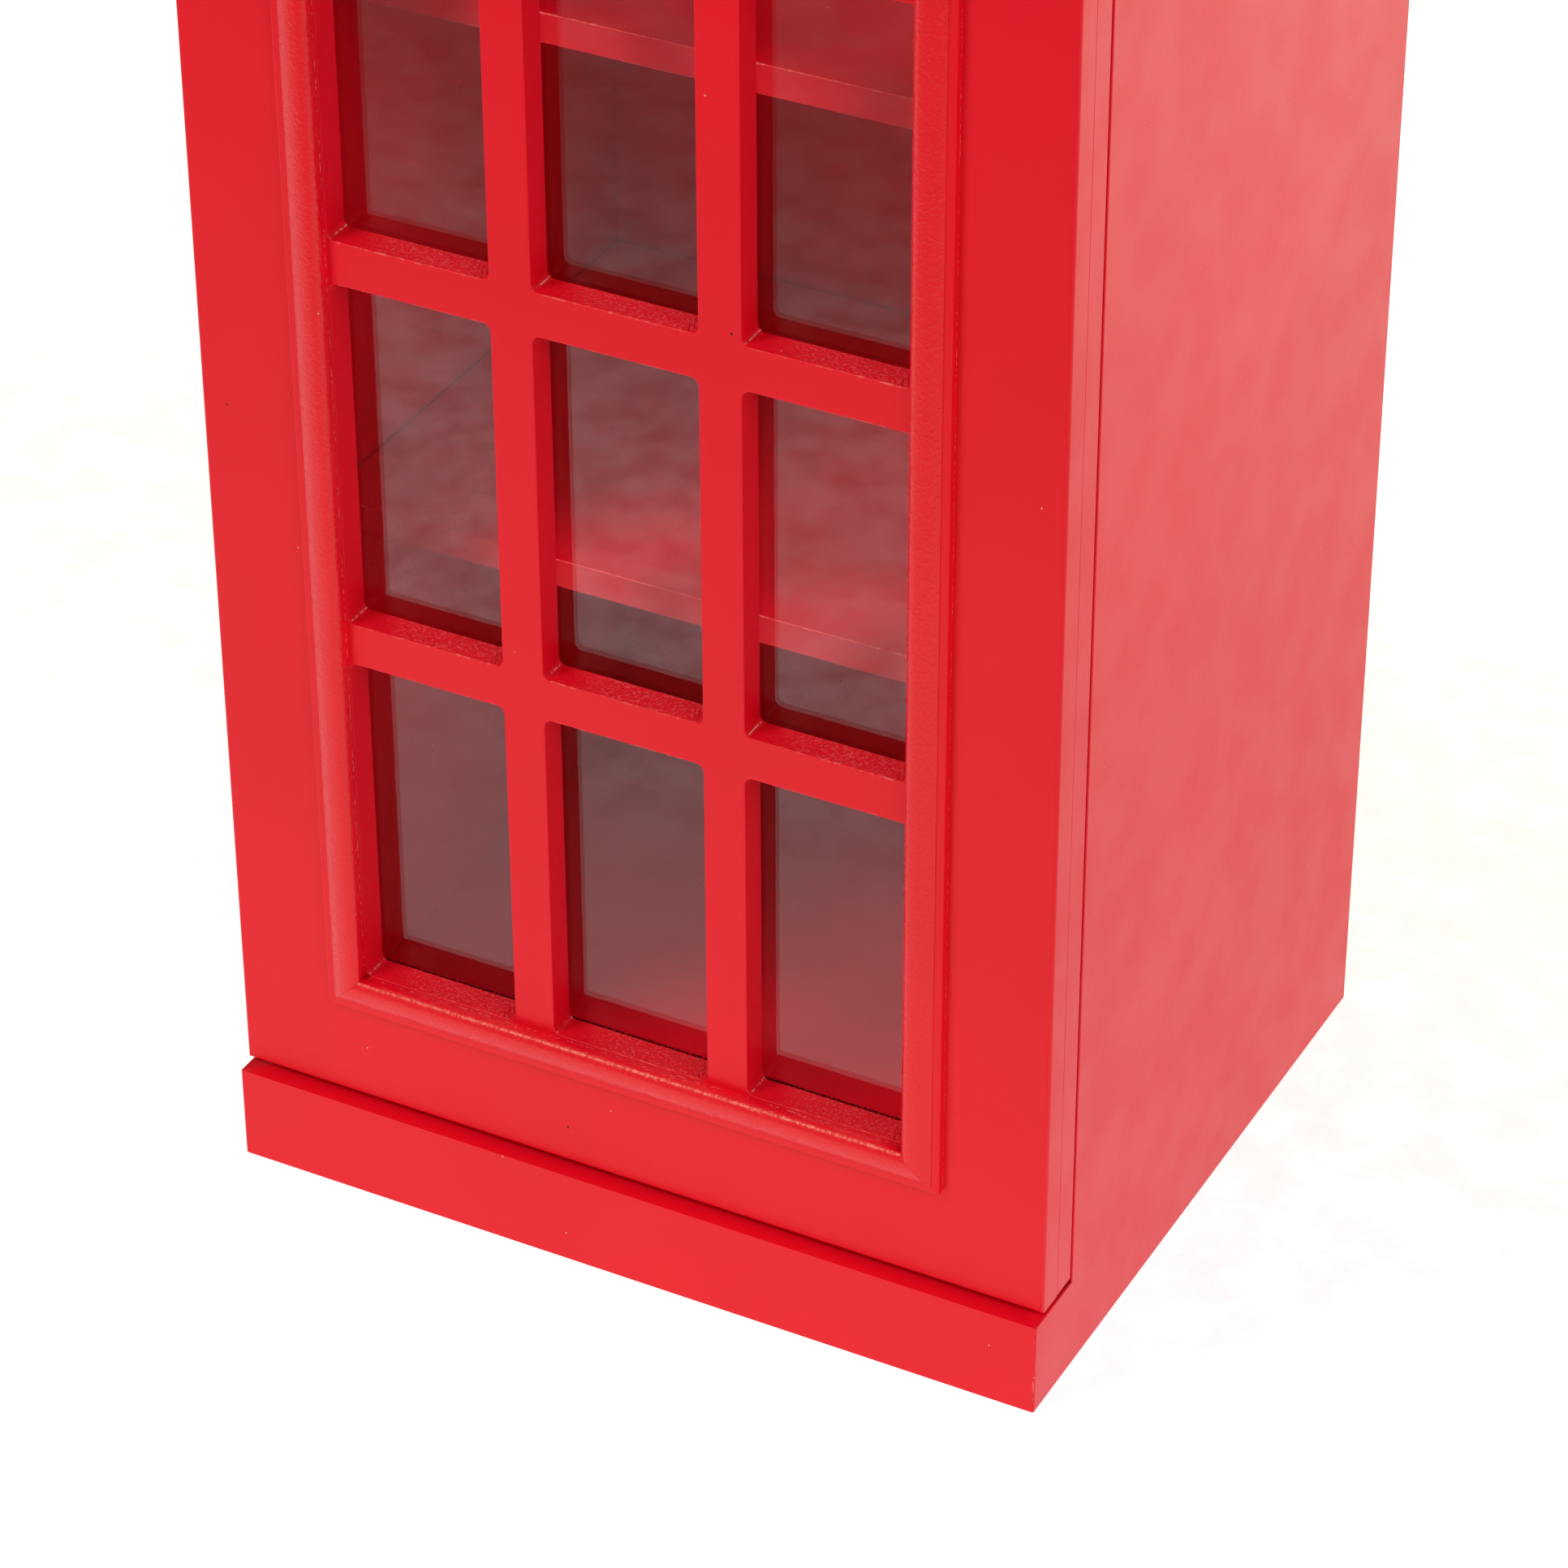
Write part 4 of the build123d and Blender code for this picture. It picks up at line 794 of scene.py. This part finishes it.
def roof():
    """The domed lid: a grid on a sphere, a skirt round it and the same shape again underneath."""
    bm = bmesh.new()
    cells = 28
    roof_x, roof_y = PED_HALF_X - BOARD, PED_HALF_Y - BOARD
    corner_z = CROWN_TOP + PEDIMENT_END - ROOF_DROP
    sphere_z = corner_z - math.sqrt(ARC_RADIUS**2 - PED_HALF_X**2 - PED_HALF_Y**2)
    ease = ROOF_EASE

    def sheet(half_x, half_y, radius):
        """A grid on a sphere.  Gives the vertices round its rim."""
        rows = []
        for i in range(cells + 1):
            row = []
            for j in range(cells + 1):
                x, y = half_x * (2 * i / cells - 1), half_y * (2 * j / cells - 1)
                z = sphere_z + math.sqrt(radius**2 - x * x - y * y)
                row.append(bm.verts.new((x, MIDDLE_Y + y, z)))
            rows.append(row)
        for i in range(cells):
            for j in range(cells):
                bm.faces.new((rows[i][j], rows[i + 1][j], rows[i + 1][j + 1], rows[i][j + 1]))
        rim = [rows[i][0] for i in range(cells)] + [rows[cells][j] for j in range(cells)]
        rim += [rows[i][cells] for i in range(cells, 0, -1)] + [rows[0][j] for j in range(cells, 0, -1)]
        return rim

    def drop(rim, half_x, half_y, z=None, down=0.0):
        """A copy of a rim moved out to a rectangle, lowered or set to a height."""
        rim_x = max(abs(v.co.x) for v in rim)
        rim_y = max(abs(v.co.y - MIDDLE_Y) for v in rim)
        moved = []
        for v in rim:
            x, y = v.co.x, v.co.y - MIDDLE_Y
            x = math.copysign(half_x, x) if abs(abs(x) - rim_x) < 0.001 * MM else x
            y = math.copysign(half_y, y) if abs(abs(y) - rim_y) < 0.001 * MM else y
            moved.append(bm.verts.new((x, MIDDLE_Y + y, v.co.z - down if z is None else z)))
        return moved

    def wall(a, b):
        """Faces between two rims with equally many vertices."""
        for s in range(len(a)):
            t = (s + 1) % len(a)
            bm.faces.new((a[s], a[t], b[t], b[s]))

    top = sheet(roof_x - ease, roof_y - ease, ARC_RADIUS)
    shoulder = drop(top, roof_x, roof_y, down=ease)
    foot = drop(shoulder, roof_x, roof_y, z=CROWN_TOP)
    inner_x, inner_y = roof_x - ROOF_SKIRT, roof_y - ROOF_SKIRT
    under = sheet(inner_x, inner_y, ARC_RADIUS - ROOF_SHELL)
    inner_foot = drop(under, inner_x, inner_y, z=CROWN_TOP)
    wall(top, shoulder)
    wall(shoulder, foot)
    wall(foot, inner_foot)
    wall(inner_foot, under)
    show("roof_dome_painted", from_bmesh(bm, "roof_dome_painted"), [PAINT_ACROSS, PAINT_EDGE],
         "cabinet", ["roof_dome"])


# ---------------------------------------------------------------- sign, glass and knob
def sign():
    """The blank sign panel and the low rounded frame round it."""
    low, high = edges_of("sign_panel")
    bm = cad_bmesh("sign_panel")
    ease_edges(bm, SIGN_EASE)
    mesh = from_bmesh(bm, "sign_panel_opal")
    show("sign_panel_opal", mesh, [OPAL, OPAL], "cabinet", ["sign_panel"])
    frame_low, _ = edges_of("sign_frame")
    width, depth = low[0] - frame_low[0], FRONT - frame_low[1]
    ease, inner, outer = THIN_EASE, SIGN_FRAME_INNER, SIGN_FRAME_OUTER
    dome = arc_points((ease, inner), (width / 2, depth), (width - ease, outer), 10)
    outline = [(0, 0), (0, inner - ease)] + dome + [(width, outer - ease), (width, 0)]
    whole = bmesh.new()
    for _, start, end, outward in frame_sides(high[0], low[2], high[2], FRONT):
        side = moulding(start, end, outward, (0, -1, 0), outline)
        mesh = from_bmesh(side, "sign_frame_side")
        whole.from_mesh(mesh)
        bpy.data.meshes.remove(mesh)
    show("sign_frame_painted", from_bmesh(whole, "sign_frame_painted"), [PAINT_ACROSS, PAINT_EDGE],
         "cabinet", ["sign_frame"])


def glass():
    """One sheet behind all the openings, with ground edges."""
    bm = cad_bmesh("door_glass")
    ease_edges(bm, GLASS_EASE, segments=1)
    mesh = from_bmesh(bm, "door_glass_pane")
    show("door_glass_pane", mesh, [GLASS, GLASS], "door", ["door_glass"])


def knob():
    """A turned knob: foot, waist, ball and a flat-domed face with a turned ring."""
    low, high = edges_of("door_knob")
    centre = Vector(((low[0] + high[0]) / 2, DOOR_FRONT, (low[2] + high[2]) / 2))
    length, widest = DOOR_FRONT - low[1], (high[0] - low[0]) / 2
    foot, waist, throat = (9 * MM, 2.5 * MM), (5.5 * MM, 7.5 * MM), (7 * MM, 12 * MM)
    belly, brim = (widest, 18.5 * MM), (9 * MM, length - 1.5 * MM)
    neck = arc_points(foot, waist, throat, 10)
    ball = arc_points(throat, belly, brim, 16)
    ring_radii, ring_depths = (6.2, 5.6, 5.0, 2.5), (0.75, 0.95, 0.5, 0.12)
    face = [(radius * MM, length - depth * MM) for radius, depth in zip(ring_radii, ring_depths)]
    profile = [(foot[0], 0)] + neck + ball[1:] + face
    steps = 64
    bm = bmesh.new()
    rings = []
    for radius, out in profile:
        ring = []
        for k in range(steps):
            turn = 2 * math.pi * k / steps
            place = Vector((radius * math.cos(turn), -out, radius * math.sin(turn)))
            ring.append(bm.verts.new(centre + place))
        rings.append(ring)
    for a, b in zip(rings, rings[1:]):
        for s in range(steps):
            t = (s + 1) % steps
            bm.faces.new((a[s], a[t], b[t], b[s]))
    tip = bm.verts.new(centre + Vector((0, -length, 0)))
    for s in range(steps):
        bm.faces.new((rings[-1][s], rings[-1][(s + 1) % steps], tip))
    bm.faces.new(rings[0][::-1])
    show("door_knob_turned", from_bmesh(bm, "door_knob_turned"), [BRASS], "door", ["door_knob"])


# ---------------------------------------------------------------- boards and hardware
def boards():
    """The cabinet's and the door's plain boards."""
    for side, name in ((-1, "side_panel_left"), (1, "side_panel_right")):
        board_piece(name, "cabinet", PAINT_BRUSHED, corners=(side,))
    board_piece("plinth_front", "cabinet", PAINT_ACROSS, corners=(-1, 1), edges=PAINT_EDGE)
    board_piece("sign_board", "cabinet", PAINT_ACROSS, corners=(-1, 1))
    for name in ("floor_panel", "top_panel", "cap_panel", "plinth_back", "crown_back"):
        board_piece(name, "cabinet", PAINT_ACROSS)
    for name in [node for node in NODES if node.startswith("shelf_") and node != "shelf_pins"]:
        board_piece(name, "cabinet", PAINT_ACROSS, edges=PAINT_EDGE)
    board_piece("back_panel", "cabinet", PAINT_UPRIGHT, THIN_EASE)
    for name in ("door_stile_left", "door_stile_right"):
        board_piece(name, "door", PAINT_UPRIGHT)
    for name in ("door_rail_bottom", "door_rail_top"):
        board_piece(name, "door", PAINT_ACROSS)
    board_piece("glazing_beads", "door", PAINT_UPRIGHT, THIN_EASE)


def hardware():
    """Frame nodes that keep their own shape and only get a finish."""
    finishes = {
        "hinge_leaves_carcass": STEEL, "hinge_leaves_door": STEEL, "hinge_pins": STEEL,
        "hinge_screws_carcass": ZINC, "hinge_screws_door": ZINC, "back_panel_screws": ZINC,
        "catch_screws": ZINC, "knob_screw": ZINC, "strike_screw": ZINC, "catch_strike": ZINC,
        "shelf_pins": ZINC, "catch_case": CATCH, "catch_magnet": MAGNET,
        "carcass_dowels": WOOD, "plinth_blocks": WOOD,
    }
    for node, material in finishes.items():
        data = NODES[node].data
        data.materials.clear()
        data.materials.append(material)


# ---------------------------------------------------------------- floor, light and camera
FLOOR_HALF = 7.0
WORLD_STRENGTH = 0.40
LAMPS = (  # name, place, where it points, side length, watts
    ("key", (-1.01, -1.63, 2.15), (0, -0.18, 0.25), 0.7, 21),
    ("fill", (2.0, -1.2, 1.9), (0.2, -0.1, 0.4), 1.4, 17),
)


def studio():
    """A plain floor that glows with painted light, an even white world and two soft square lamps."""
    mesh = bpy.data.meshes.new("floor")
    corners = [(x * FLOOR_HALF, y * FLOOR_HALF, 0) for x, y in ((-1, -1), (1, -1), (1, 1), (-1, 1))]
    mesh.from_pydata(corners, [], [(0, 1, 2, 3)])
    mesh.materials.append(glowing_floor_paper())
    floor = bpy.data.objects.new("floor", mesh)
    bpy.context.scene.collection.objects.link(floor)

    world = bpy.data.worlds.new("studio")
    bpy.context.scene.world = world
    world.use_nodes = True
    background = world.node_tree.nodes["Background"]
    background.inputs["Color"].default_value = (1.0, 0.995, 0.985, 1)
    background.inputs["Strength"].default_value = WORLD_STRENGTH

    for name, place, target, side, power in LAMPS:
        data = bpy.data.lights.new(name, "AREA")
        data.shape, data.size, data.energy = "SQUARE", side, power
        lamp = bpy.data.objects.new(name, data)
        bpy.context.scene.collection.objects.link(lamp)
        lamp.location = place
        lamp.rotation_euler = (Vector(target) - Vector(place)).to_track_quat("-Z", "Y").to_euler()


EYE_FROM_PLINTH = (1.3091, -1.8908, 1.7597)  # from the plinth's lower left front corner
YAW, PITCH, ROLL = (math.radians(a) for a in (-27.75, -33.87, -0.18))
SENSOR, LENS = 36.0, 127.9


def camera():
    """A standing viewer's eye, to the right and in front, looking down at the lower half."""
    forward = Vector((math.sin(YAW) * math.cos(PITCH), math.cos(YAW) * math.cos(PITCH), math.sin(PITCH)))
    level = forward.cross(Vector((0, 0, 1))).normalized()
    upright = level.cross(forward)
    right = level * math.cos(ROLL) + upright * math.sin(ROLL)
    up = upright * math.cos(ROLL) - level * math.sin(ROLL)
    place = Vector(plinth_low) + Vector(EYE_FROM_PLINTH)
    data = bpy.data.cameras.new("camera")
    data.sensor_width, data.lens = SENSOR, LENS
    eye = bpy.data.objects.new("camera", data)
    bpy.context.scene.collection.objects.link(eye)
    turn = Matrix((right, up, -forward)).transposed()
    eye.matrix_world = Matrix.Translation(place) @ turn.to_4x4()
    bpy.context.scene.camera = eye


camera()
studio()
boards()
door_panel()
door_beads()
crown_mouldings()
pediments()
roof()
sign()
glass()
knob()
hardware()
bpy.context.scene.view_settings.view_transform = "Standard"
